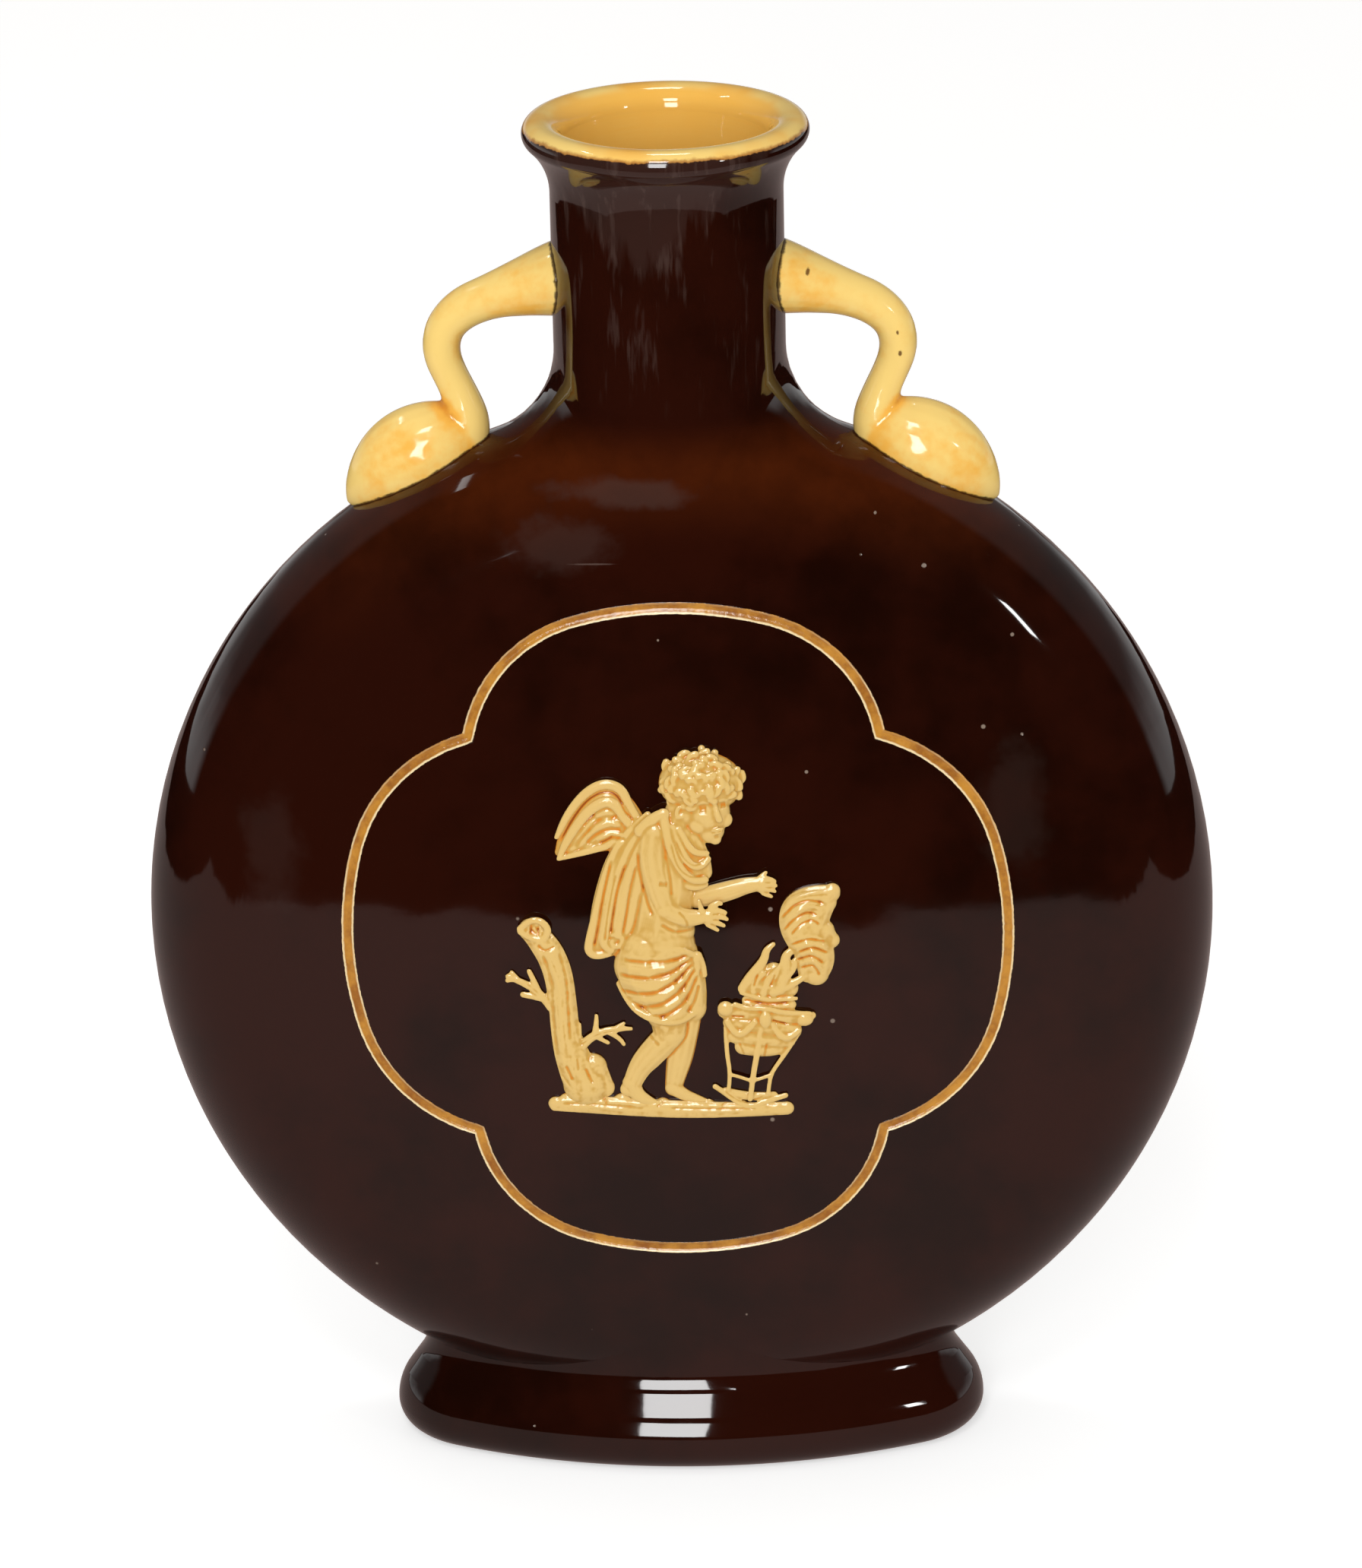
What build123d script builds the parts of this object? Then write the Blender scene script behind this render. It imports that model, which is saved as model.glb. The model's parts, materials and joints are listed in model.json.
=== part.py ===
from build123d import *
import os
from math import atan2, cos, degrees, radians, sin, sqrt, tan

# A glazed stoneware pilgrim flask: a flat round bottle on an oval foot, with a
# short neck, two looped handles and a figure in relief inside a four-lobed line.
# Sizes are in millimetres. The origin is on the ground under the middle of the
# foot, +Z is up, and the decorated face looks towards -Y.

overrun = 5.0          # how far a cutting shape runs past what it cuts
luting_gap = 0.05      # slip-filled joint round an inlaid line

# Walls and body
wall = 4.0
body_radius = 96.2             # of the disc, seen from the front
body_ground_clearance = 5.3    # under the disc's lowest point, inside the foot
face_crown = 4.0               # how far each face domes out past the rounded edge
shoulder_blend_radius = 17.0   # hollow curve between shoulder and neck
shoulder_collar_height = 1.0   # straight rim above that curve, where the neck is luted on

# Neck and lip
neck_radius = 20.5
neck_length = 27.36
neck_flush = 0.5               # the neck stands this far proud of the edge rounding
throat_step = 0.6              # the shoulder's throat is wider than the bore above it
lip_overhang = 4.7             # of the lip's edge, past the neck
lip_edge_radius = 2.6
lip_flare_radius = 12.0        # hollow curve under the lip
lip_flat = 0.5                 # level ring between the edge and the rounding into the mouth
mouth_flare = 1.4              # how much the mouth opens above the bore

# Foot
foot_waist_half_width = 48.6
foot_lap = 0.2                 # how far the waist stands out past the disc's edge rounding
foot_end_radius = 12.0
foot_wall = 5.6
foot_flare = 5.7               # how far the foot spreads past the waist
foot_edge_radius = 5.0         # of the rounding down to the ground
foot_bulge_radius = 10.0       # flatter rounding above it
foot_slope = 35.0              # degrees, of the straight part above the bulge, from upright
foot_cove_radius = 7.5
foot_seat_lap = 13.5           # collar height above its seat, before it is fitted round the disc

# Handles
handle_root_rise = 11.1        # of the arm's root above the neck's joint
handle_arm_radius = 3.3
handle_pad_half_length = 14.9
handle_pad_half_height = 9.3
handle_pad_half_width = 7.0
handle_pad_tip_radius = 4.4    # of the pad's rounded points
handle_pad_out = 45.4          # of the pad's centre, from the neck's axis
handle_pad_rise = 3.0          # of the pad's centre, above the disc's edge
handle_pad_tilt = 4.5          # degrees, nose down from the shoulder's slope

# Four-lobed line, let into each face
panel_centre_rise = 3.6        # above the middle of the disc
panel_top_reach = 61.3
panel_side_reach = 59.0
panel_cusp_side = 36.4
panel_cusp_rise = 37.6
panel_crown_radius = 65.0      # flatter curve at the middle of each lobe
panel_crown_half_angle = 15.0  # degrees
line_width = 2.0
line_groove_depth = 0.9
line_recess = 0.25             # of the inlay below the face

# Relief
relief_height = 68.0           # from the ground strip to the top of the head
relief_drop = 32.1             # of the ground strip below the panel's middle
relief_low = 1.8               # how far the farther parts stand off the face
relief_high = 2.8              # how far the nearer parts stand off the face

# Arm of a handle, from the neck down to the pad: places as shares of the way from
# root to pad, radii as shares of the arm's own radius
handle_arm_shares = [
    (-0.142, -0.029, 2.06),
    (0.000, 0.000, 1.92),
    (0.252, 0.044, 1.52),
    (0.472, 0.108, 1.25),
    (0.677, 0.225, 1.10),
    (0.779, 0.372, 1.03),
    (0.764, 0.518, 0.98),
    (0.677, 0.665, 0.98),
    (0.590, 0.821, 1.08),
    (0.535, 0.997, 1.20),
]

# Relief, as chains of joints (across, up, radius) in shares of the relief height,
# from the middle of the ground strip
ground_shares = [
    [(-0.333, 0.010, 0.029), (-0.180, 0.004, 0.036), (-0.030, -0.014, 0.035),
     (0.130, -0.013, 0.030), (0.280, -0.009, 0.027)],
]
stump_shares = [
    [(-0.372, 0.492, 0.052), (-0.322, 0.390, 0.046), (-0.300, 0.270, 0.043),
     (-0.287, 0.160, 0.052), (-0.240, 0.060, 0.085)],
    [(-0.240, 0.060, 0.080), (-0.130, 0.035, 0.030)],
    [(-0.325, 0.290, 0.014), (-0.385, 0.345, 0.017), (-0.447, 0.372, 0.015)],
    [(-0.385, 0.345, 0.014), (-0.392, 0.382, 0.010)],
    [(-0.335, 0.300, 0.012), (-0.415, 0.312, 0.013)],
    [(-0.262, 0.150, 0.022), (-0.215, 0.222, 0.020), (-0.136, 0.220, 0.013)],
    [(-0.222, 0.225, 0.010), (-0.216, 0.262, 0.009)],
    [(-0.200, 0.215, 0.014), (-0.150, 0.183, 0.011)],
]
figure_low_shares = [
    [(-0.125, 0.770, 0.045), (-0.175, 0.850, 0.050), (-0.235, 0.830, 0.044),
     (-0.302, 0.762, 0.012)],
    [(-0.150, 0.790, 0.060), (-0.225, 0.770, 0.040), (-0.297, 0.706, 0.013)],
    [(-0.140, 0.770, 0.040), (-0.230, 0.722, 0.018)],
    [(-0.070, 0.760, 0.050), (-0.215, 0.460, 0.032)],
    [(-0.060, 0.740, 0.045), (-0.160, 0.470, 0.028)],
    [(0.040, 0.560, 0.036), (0.120, 0.592, 0.030), (0.175, 0.612, 0.026),
     (0.232, 0.628, 0.030)],
    [(0.015, 0.340, 0.075), (0.045, 0.215, 0.048), (0.012, 0.085, 0.032),
     (0.020, 0.040, 0.026), (0.066, 0.020, 0.018)],
]
figure_high_shares = [
    [(0.070, 0.885, 0.116), (0.100, 0.790, 0.062)],
    [(0.020, 0.800, 0.050), (-0.050, 0.745, 0.056)],
    [(-0.020, 0.790, 0.044), (0.035, 0.705, 0.050), (0.072, 0.720, 0.032)],
    [(-0.040, 0.730, 0.062), (-0.018, 0.600, 0.066), (-0.030, 0.480, 0.082),
     (-0.058, 0.385, 0.110)],
    [(-0.035, 0.375, 0.100), (-0.018, 0.225, 0.066), (-0.120, 0.085, 0.040),
     (-0.118, 0.042, 0.032), (-0.068, 0.022, 0.022)],
    [(-0.055, 0.700, 0.050), (-0.025, 0.560, 0.044), (0.070, 0.535, 0.030),
     (0.105, 0.550, 0.034)],
]
brazier_shares = [
    [(0.120, 0.266, 0.024), (0.230, 0.256, 0.026), (0.335, 0.245, 0.020)],
    [(0.150, 0.235, 0.030), (0.170, 0.190, 0.040), (0.215, 0.160, 0.042)],
    [(0.215, 0.200, 0.075), (0.215, 0.160, 0.042), (0.270, 0.190, 0.045), (0.300, 0.240, 0.030)],
    [(0.184, 0.300, 0.018), (0.298, 0.296, 0.018)],
    [(0.205, 0.325, 0.034), (0.228, 0.400, 0.026), (0.232, 0.440, 0.013)],
    [(0.240, 0.330, 0.040), (0.300, 0.355, 0.040), (0.345, 0.385, 0.050)],
    [(0.345, 0.385, 0.050), (0.356, 0.430, 0.055), (0.334, 0.475, 0.058),
     (0.328, 0.545, 0.060), (0.352, 0.585, 0.042), (0.402, 0.590, 0.030)],
    [(0.132, 0.190, 0.011), (0.140, 0.050, 0.011)],
    [(0.215, 0.160, 0.012), (0.190, 0.010, 0.012)],
    [(0.290, 0.180, 0.011), (0.255, 0.045, 0.011)],
    [(0.138, 0.100, 0.009), (0.198, 0.082, 0.009), (0.270, 0.092, 0.009)],
    [(0.108, 0.045, 0.015), (0.182, -0.003, 0.016), (0.275, 0.035, 0.015),
     (0.190, 0.040, 0.015), (0.108, 0.045, 0.015)],
]

# Sizes that follow
body_edge_radius = neck_radius - neck_flush      # the disc's edge is as round as the neck
edge_centre_radius = body_radius - body_edge_radius
body_half_depth = body_edge_radius + face_crown
body_centre_height = body_radius + body_ground_clearance
neck_bore_radius = neck_radius - wall
throat_radius = neck_bore_radius + throat_step
throat_blend_radius = shoulder_blend_radius + wall
blend_reach = body_radius + shoulder_blend_radius
blend_rise = sqrt(blend_reach**2 - (neck_radius + shoulder_blend_radius)**2)
neck_joint_height = body_centre_height + blend_rise + shoulder_collar_height
lip_joint_height = neck_joint_height + neck_length
lip_radius = neck_radius + lip_overhang
flare_spread = neck_radius + lip_flare_radius - (lip_radius - lip_edge_radius)
flare_rise = sqrt((lip_flare_radius + lip_edge_radius)**2 - flare_spread**2)
lip_edge_height = lip_joint_height + flare_rise
total_height = lip_edge_height + lip_edge_radius
mouth_radius = neck_bore_radius + mouth_flare
mouth_round_radius = lip_radius - lip_edge_radius - lip_flat - mouth_radius
foot_waist_half_depth = body_edge_radius + foot_lap
foot_seat_height = (body_centre_height - sqrt(body_radius**2 - foot_waist_half_width**2)
                    + foot_seat_lap)
panel_height = body_centre_height + panel_centre_rise
ground_height = panel_height - relief_drop
panel = Plane(origin=(0, 0, panel_height), x_dir=(1, 0, 0), z_dir=(0, -1, 0))
relief_panel = Plane(origin=(0, 0, ground_height), x_dir=(1, 0, 0), z_dir=(0, -1, 0))


def moulded_disc(inset):
    # The disc as a form turned about its own level axis: a low dome on each face,
    # tangent to a round edge. Inset draws every surface in by the same amount.
    edge_radius = body_edge_radius - inset
    dome_offset = (edge_centre_radius**2 - face_crown**2) / (2 * face_crown)
    edge_angle = degrees(atan2(dome_offset, edge_centre_radius))
    half_depth = body_half_depth - inset
    with BuildPart() as disc:
        with BuildSketch(Plane.XY.offset(body_centre_height)):
            with BuildLine():
                edge = CenterArc((edge_centre_radius, 0), edge_radius, -edge_angle, 2 * edge_angle)
                back = TangentArc(edge @ 1, (0, half_depth), tangent=edge % 1)
                front = TangentArc(edge @ 0, (0, -half_depth), tangent=(edge % 0) * -1)
                Line(back @ 1, front @ 1)
            make_face()
        revolve(axis=Axis((0, 0, body_centre_height), (0, 1, 0)))
    return disc.part


def bottle_form(inset, stem_radius, blend_radius, top):
    # The disc with its neck rising out of it, blended by one hollow curve.
    disc = moulded_disc(inset)
    with BuildPart() as form:
        add(disc)
        with BuildSketch(Plane.XY.offset(body_centre_height)):
            Circle(stem_radius)
        extrude(amount=top - body_centre_height)
        shoulder_edges = form.edges(Select.NEW)
        fillet(shoulder_edges, blend_radius)
    return form.part


def lobe(reach, cusp_out, cusp_across):
    # One lobe of the panel line, upwards from the panel's middle: a flat crown
    # between two rounder shoulders, all tangent, ending on the two cusps.
    turn = panel_crown_half_angle
    with BuildLine() as outline:
        crown = CenterArc((0, reach - panel_crown_radius), panel_crown_radius, 90 - turn, 2 * turn)
        TangentArc(crown @ 0, (cusp_across, cusp_out), tangent=(crown % 0) * -1)
        TangentArc(crown @ 1, (-cusp_across, cusp_out), tangent=crown % 1)
    return outline.line


def panel_band(half_width):
    # The four-lobed line as a flat band of the given half width.
    upper = lobe(panel_top_reach, panel_cusp_rise, panel_cusp_side)
    side = lobe(panel_side_reach, panel_cusp_side, panel_cusp_rise)
    with BuildSketch() as quatrefoil:
        with BuildLine():
            add(upper)
            add(upper, rotation=180)
            add(side, rotation=90)
            add(side, rotation=-90)
        make_face()
    with BuildSketch(panel) as band:
        add(offset(quatrefoil.sketch, half_width, kind=Kind.INTERSECTION, mode=Mode.PRIVATE))
        add(offset(quatrefoil.sketch, -half_width, kind=Kind.INTERSECTION, mode=Mode.PRIVATE),
            mode=Mode.SUBTRACT)
    return band.sketch


def silhouette(chains):
    # A relief outline: each chain of joints is filled out by the hull of
    # neighbouring circles.
    with BuildSketch(relief_panel) as outline:
        for chain in chains:
            for start, end in zip(chain, chain[1:]):
                circles = []
                for across, up, radius in (start, end):
                    place = Plane(origin=(across * relief_height, up * relief_height, 0))
                    circles.append(Edge.make_circle(radius * relief_height, place))
                make_hull(circles)
    return outline.sketch


def sprig(outline, relief):
    # A sprig pressed from a flat mould: its back fits the domed face and its
    # front follows the dome at an even height.
    outer = moulded_disc(-relief)
    seat = moulded_disc(0)
    with BuildPart() as pressed:
        extrude(outline, amount=body_half_depth + overrun, dir=(0, -1, 0))
        add(outer, mode=Mode.INTERSECT)
        add(seat, mode=Mode.SUBTRACT)
    return pressed.part


os.makedirs("parts", exist_ok=True)
outer_form = bottle_form(0, neck_radius, shoulder_blend_radius, lip_joint_height)
inner_form = bottle_form(wall, throat_radius, throat_blend_radius, neck_joint_height)

# Foot: an oval collar swept round four tangent arcs, cut to seat on the disc. Its
# outline runs from the waist by a hollow, a slope and a bulge to a rounded edge
side_reach = foot_waist_half_width - foot_end_radius
side_radius = ((side_reach**2 + foot_waist_half_depth**2 - foot_end_radius**2)
               / (2 * (foot_waist_half_depth - foot_end_radius)))
side_offset = side_radius - foot_waist_half_depth
side_half_angle = degrees(atan2(side_reach, side_offset))
slope_angle = radians(foot_slope)
bulge_top_out = foot_flare - foot_bulge_radius * (1 - cos(slope_angle))
bulge_top_height = foot_edge_radius + foot_bulge_radius * sin(slope_angle)
cove_foot_out = foot_cove_radius * (1 - cos(slope_angle))
slope_rise = (bulge_top_out - cove_foot_out) / tan(slope_angle)
cove_height = bulge_top_height + slope_rise + foot_cove_radius * sin(slope_angle)

with BuildPart() as foot:
    with BuildLine() as oval:
        CenterArc((0, side_offset), side_radius, -90 - side_half_angle, 2 * side_half_angle)
        CenterArc((side_reach, 0), foot_end_radius, side_half_angle - 90, 180 - 2 * side_half_angle)
        CenterArc((0, -side_offset), side_radius, 90 - side_half_angle, 2 * side_half_angle)
        CenterArc((-side_reach, 0), foot_end_radius, side_half_angle + 90, 180 - 2 * side_half_angle)
    path = oval.wire()
    outward = (path % 0).cross(Vector(0, 0, 1))
    with BuildSketch(Plane(origin=path @ 0, x_dir=outward, z_dir=(path % 0) * -1)):
        with BuildLine():
            edge = CenterArc((foot_flare - foot_edge_radius, foot_edge_radius), foot_edge_radius,
                             -90, 90)
            bulge = CenterArc((foot_flare - foot_bulge_radius, foot_edge_radius), foot_bulge_radius,
                              0, foot_slope)
            cove = CenterArc((foot_cove_radius, cove_height), foot_cove_radius, 180, foot_slope)
            Line(bulge @ 1, cove @ 1)
            Polyline(cove @ 0, (0, foot_seat_height), (-foot_wall, foot_seat_height),
                     (-foot_wall, 0), edge @ 0)
        make_face()
    sweep(path=path)
    add(outer_form, mode=Mode.SUBTRACT)
foot.part.label = "foot"
export_step(foot.part, "parts/foot.step")

# Body: two moulded halves of one hollow form, with a groove for the line
groove_floor = moulded_disc(line_groove_depth)
groove_band = panel_band(line_width / 2 + luting_gap)
with BuildPart() as groove:
    extrude(groove_band, amount=body_half_depth + overrun, dir=(0, -1, 0))
    add(groove_floor, mode=Mode.SUBTRACT)

with BuildPart() as body_front:
    add(outer_form)
    add(inner_form, mode=Mode.SUBTRACT)
    split(bisect_by=Plane.XY.offset(neck_joint_height), keep=Keep.BOTTOM)
    split(bisect_by=Plane.XZ, keep=Keep.TOP)
    add(groove.part, mode=Mode.SUBTRACT)

body_front.part.label = "body_front"
export_step(body_front.part, "parts/body_front.step")

with BuildPart() as body_back:
    mirror(body_front.part, about=Plane.XZ)
body_back.part.label = "body_back"
export_step(body_back.part, "parts/body_back.step")

# Neck: a straight thrown tube with the bore that a stopper enters
with BuildPart() as neck:
    with BuildSketch(Plane.XY.offset(neck_joint_height)):
        Circle(neck_radius)
        Circle(neck_bore_radius, mode=Mode.SUBTRACT)
    extrude(amount=lip_joint_height - neck_joint_height)
neck.part.label = "neck"
export_step(neck.part, "parts/neck.step")

# Lip: a flared ring with a rolled edge and a rounded mouth
flare_turn = degrees(atan2(flare_rise, flare_spread))
with BuildPart() as lip:
    with BuildSketch(Plane.XZ):
        with BuildLine():
            flare = CenterArc((neck_radius + lip_flare_radius, lip_joint_height), lip_flare_radius,
                              180, -flare_turn)
            edge = CenterArc((lip_radius - lip_edge_radius, lip_edge_height), lip_edge_radius,
                             -flare_turn, 90 + flare_turn)
            mouth = CenterArc((mouth_radius + mouth_round_radius, total_height - mouth_round_radius),
                              mouth_round_radius, 90, 90)
            Line(edge @ 1, mouth @ 0)
            Polyline(mouth @ 1, (neck_bore_radius, lip_joint_height), flare @ 0)
        make_face()
    revolve(axis=Axis.Z)
lip.part.label = "lip"
export_step(lip.part, "parts/lip.step")

# Handles: a tapering arm from neck to shoulder, ending under an egg-shaped pad whose
# outline is two flat curves between two rounded points, all tangent
root_height = neck_joint_height + handle_root_rise
pad_seat_rise = sqrt(body_radius**2 - handle_pad_out**2)
pad_centre = Vector(-handle_pad_out, 0, body_centre_height + pad_seat_rise + handle_pad_rise)
pad_slope = degrees(atan2(handle_pad_out, pad_seat_rise)) + handle_pad_tilt
pad_tip_out = handle_pad_half_length - handle_pad_tip_radius
pad_side_radius = ((pad_tip_out**2 + handle_pad_half_height**2 - handle_pad_tip_radius**2)
                   / (2 * (handle_pad_half_height - handle_pad_tip_radius)))
pad_side_half_angle = degrees(atan2(pad_tip_out, pad_side_radius - handle_pad_half_height))
arm_root = Vector(-neck_radius, 0, root_height)
arm_span = pad_centre - arm_root
stations = [arm_root + Vector(out * arm_span.X, 0, down * arm_span.Z)
            for out, down, _ in handle_arm_shares]

with BuildPart() as pad:
    with BuildSketch(Plane.XZ):
        with BuildLine():
            pad_side = CenterArc((0, handle_pad_half_height - pad_side_radius), pad_side_radius,
                                 90 - pad_side_half_angle, 2 * pad_side_half_angle)
            TangentArc(pad_side @ 0, (handle_pad_half_length, 0), tangent=(pad_side % 0) * -1)
            TangentArc(pad_side @ 1, (-handle_pad_half_length, 0), tangent=pad_side % 1)
            Line((-handle_pad_half_length, 0), (handle_pad_half_length, 0))
        make_face()
    revolve(axis=Axis.X)
    scale(by=(1, handle_pad_half_width / handle_pad_half_height, 1))
placed_pad = pad.part.moved(Location(pad_centre, (0, -pad_slope, 0)))

with BuildPart() as handle_left:
    for index, (_, _, radius_share) in enumerate(handle_arm_shares):
        before = stations[max(index - 1, 0)]
        after = stations[min(index + 1, len(stations) - 1)]
        with BuildSketch(Plane(origin=stations[index], x_dir=(0, 1, 0), z_dir=after - before)):
            Circle(radius_share * handle_arm_radius)
    loft()
    add(placed_pad)
    add(outer_form, mode=Mode.SUBTRACT)
handle_left.part.label = "handle_left"
export_step(handle_left.part, "parts/handle_left.step")

with BuildPart() as handle_right:
    mirror(handle_left.part, about=Plane.YZ)
handle_right.part.label = "handle_right"
export_step(handle_right.part, "parts/handle_right.step")

# Line: a narrow inlay that lies in its groove, a little below the face
inlay_floor = moulded_disc(line_groove_depth - luting_gap)
inlay_face = moulded_disc(line_recess)
inlay_band = panel_band(line_width / 2)

with BuildPart() as line_front:
    extrude(inlay_band, amount=body_half_depth + overrun, dir=(0, -1, 0))
    add(inlay_face, mode=Mode.INTERSECT)
    add(inlay_floor, mode=Mode.SUBTRACT)
line_front.part.label = "line_front"
export_step(line_front.part, "parts/line_front.step")

with BuildPart() as line_back:
    mirror(line_front.part, about=Plane.XZ)
line_back.part.label = "line_back"
export_step(line_back.part, "parts/line_back.step")

# Relief: four applied sprigs; the others stand on the ground strip, and the
# stump passes behind the figure
ground_raised = sprig(silhouette(ground_shares), relief_high)
stump_raised = sprig(silhouette(stump_shares), relief_low)
figure_low_raised = sprig(silhouette(figure_low_shares), relief_low)
figure_high_raised = sprig(silhouette(figure_high_shares), relief_high)
brazier_raised = sprig(silhouette(brazier_shares), relief_low)

with BuildPart() as sprig_ground:
    add(ground_raised)
sprig_ground.part.label = "sprig_ground"
export_step(sprig_ground.part, "parts/sprig_ground.step")

with BuildPart() as sprig_figure:
    add(figure_low_raised)
    add(figure_high_raised)
    add(ground_raised, mode=Mode.SUBTRACT)
sprig_figure.part.label = "sprig_figure"
export_step(sprig_figure.part, "parts/sprig_figure.step")

with BuildPart() as sprig_stump:
    add(stump_raised)
    add(ground_raised, mode=Mode.SUBTRACT)
    add(sprig_figure.part, mode=Mode.SUBTRACT)
sprig_stump.part.label = "sprig_stump"
export_step(sprig_stump.part, "parts/sprig_stump.step")

with BuildPart() as sprig_brazier:
    add(brazier_raised)
    add(ground_raised, mode=Mode.SUBTRACT)
sprig_brazier.part.label = "sprig_brazier"
export_step(sprig_brazier.part, "parts/sprig_brazier.step")
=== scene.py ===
import bpy
import numpy as np
from math import radians, sin, cos, pi, hypot
from mathutils import Matrix, Vector, noise
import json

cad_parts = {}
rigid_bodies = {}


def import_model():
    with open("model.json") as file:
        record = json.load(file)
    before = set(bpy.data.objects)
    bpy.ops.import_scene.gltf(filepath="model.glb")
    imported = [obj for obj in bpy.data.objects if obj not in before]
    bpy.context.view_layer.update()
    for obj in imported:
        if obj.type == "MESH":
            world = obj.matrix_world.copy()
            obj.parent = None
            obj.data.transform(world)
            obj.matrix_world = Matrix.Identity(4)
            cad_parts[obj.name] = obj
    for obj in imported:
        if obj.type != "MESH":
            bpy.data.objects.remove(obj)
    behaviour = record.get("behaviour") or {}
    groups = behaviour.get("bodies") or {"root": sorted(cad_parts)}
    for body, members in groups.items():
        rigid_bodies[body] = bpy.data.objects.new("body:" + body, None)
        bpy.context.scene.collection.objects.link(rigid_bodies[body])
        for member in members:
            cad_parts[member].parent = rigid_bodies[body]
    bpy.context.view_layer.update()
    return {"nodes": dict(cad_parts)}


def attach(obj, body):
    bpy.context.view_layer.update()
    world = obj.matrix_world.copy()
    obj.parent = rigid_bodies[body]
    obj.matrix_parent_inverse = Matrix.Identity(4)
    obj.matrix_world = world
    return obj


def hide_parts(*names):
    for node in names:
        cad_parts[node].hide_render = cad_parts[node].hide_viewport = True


for leftover in list(bpy.data.objects):
    bpy.data.objects.remove(leftover)

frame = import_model()
nodes = frame["nodes"]
mm = 0.001
print("frame loaded:", len(nodes), "nodes")


class Wire:  # a socket that adds its own Math nodes when it is used in a sum
    def __init__(self, tree, socket):
        self.tree, self.socket = tree, socket

    def maths(self, operation, *values):
        return self.tree.node("Math", {"operation": operation}, dict(enumerate(values)))

    def __add__(self, other):
        return self.maths("ADD", self, other)

    def __sub__(self, other):
        return self.maths("SUBTRACT", self, other)

    def __rsub__(self, other):
        return self.maths("SUBTRACT", other, self)

    def __mul__(self, other):
        return self.maths("MULTIPLY", self, other)

    def __truediv__(self, other):
        return self.maths("DIVIDE", self, other)

    def __pow__(self, other):
        return self.maths("POWER", self, other)

    def __abs__(self):
        return self.maths("ABSOLUTE", self)

    __radd__ = __add__
    __rmul__ = __mul__


class Tree:  # one material's or the world's node tree
    def __init__(self, owner):
        owner.use_nodes = True
        self.owner, self.tree = owner, owner.node_tree
        self.tree.nodes.clear()

    def node(self, kind, settings=None, inputs=None, output=0):  # settings first, then values and links
        made = self.tree.nodes.new("ShaderNode" + kind)
        for name, value in (settings or {}).items():
            setattr(made, name, value)
        for name, value in (inputs or {}).items():
            if isinstance(value, Wire):
                self.tree.links.new(value.socket, made.inputs[name])
            else:
                made.inputs[name].default_value = value
        return Wire(self, made.outputs[output]) if made.outputs else None

    def smooth(self, value, low, high):  # 0 below low, 1 above high
        return self.node("MapRange", {"interpolation_type": "SMOOTHSTEP"},
                         {"Value": value, "From Min": low, "From Max": high})

    def fade(self, value, low, high):  # 1 below low, 0 above high
        return 1 - self.smooth(value, low, high)

    def tint(self, factor, first, second):
        values = {0: factor, 6: first, 7: second}
        for key in (6, 7):
            if not isinstance(values[key], Wire):
                values[key] = (*values[key], 1)
        return self.node("Mix", {"data_type": "RGBA"}, values, 2)

    def noise(self, place, size, detail=3.0, rough=0.5):
        return self.node("TexNoise", None, {"Vector": place, "Scale": 1 / size, "Detail": detail,
                                            "Roughness": rough})

    def vector(self, operation, first, second, output=0):
        return self.node("VectorMath", {"operation": operation}, {0: first, 1: second}, output)

    def attribute(self, name):
        return self.node("Attribute", {"attribute_name": name}, None, 2)

    def bump(self, depth, height, strength=0.5, **more):
        return self.node("Bump", None, {"Strength": strength, "Distance": depth, "Height": height, **more})

    def objectPlace(self):  # Object coordinates, and the x, y and z in them
        place = self.node("TexCoord", output=3)
        return place, [self.node("SeparateXYZ", None, {"Vector": place}, axis) for axis in range(3)]


def linear(red, green, blue):  # an sRGB colour in 0..255 as Blender's linear colour
    return tuple(((c / 255 + 0.055) / 1.055) ** 2.4 if c > 10 else c / 255 / 12.92
                 for c in (red, green, blue))


def far(a, b):  # how far a point is from an axis, from its two distances
    return (a * a + b * b) ** 0.5


def oval(x, z, middleX, middleZ, halfWide, halfTall):  # 0 in the middle of an oval given in mm, 1 at its edge
    return far((x - middleX * mm) / (halfWide * mm), (z - middleZ * mm) / (halfTall * mm))


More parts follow.
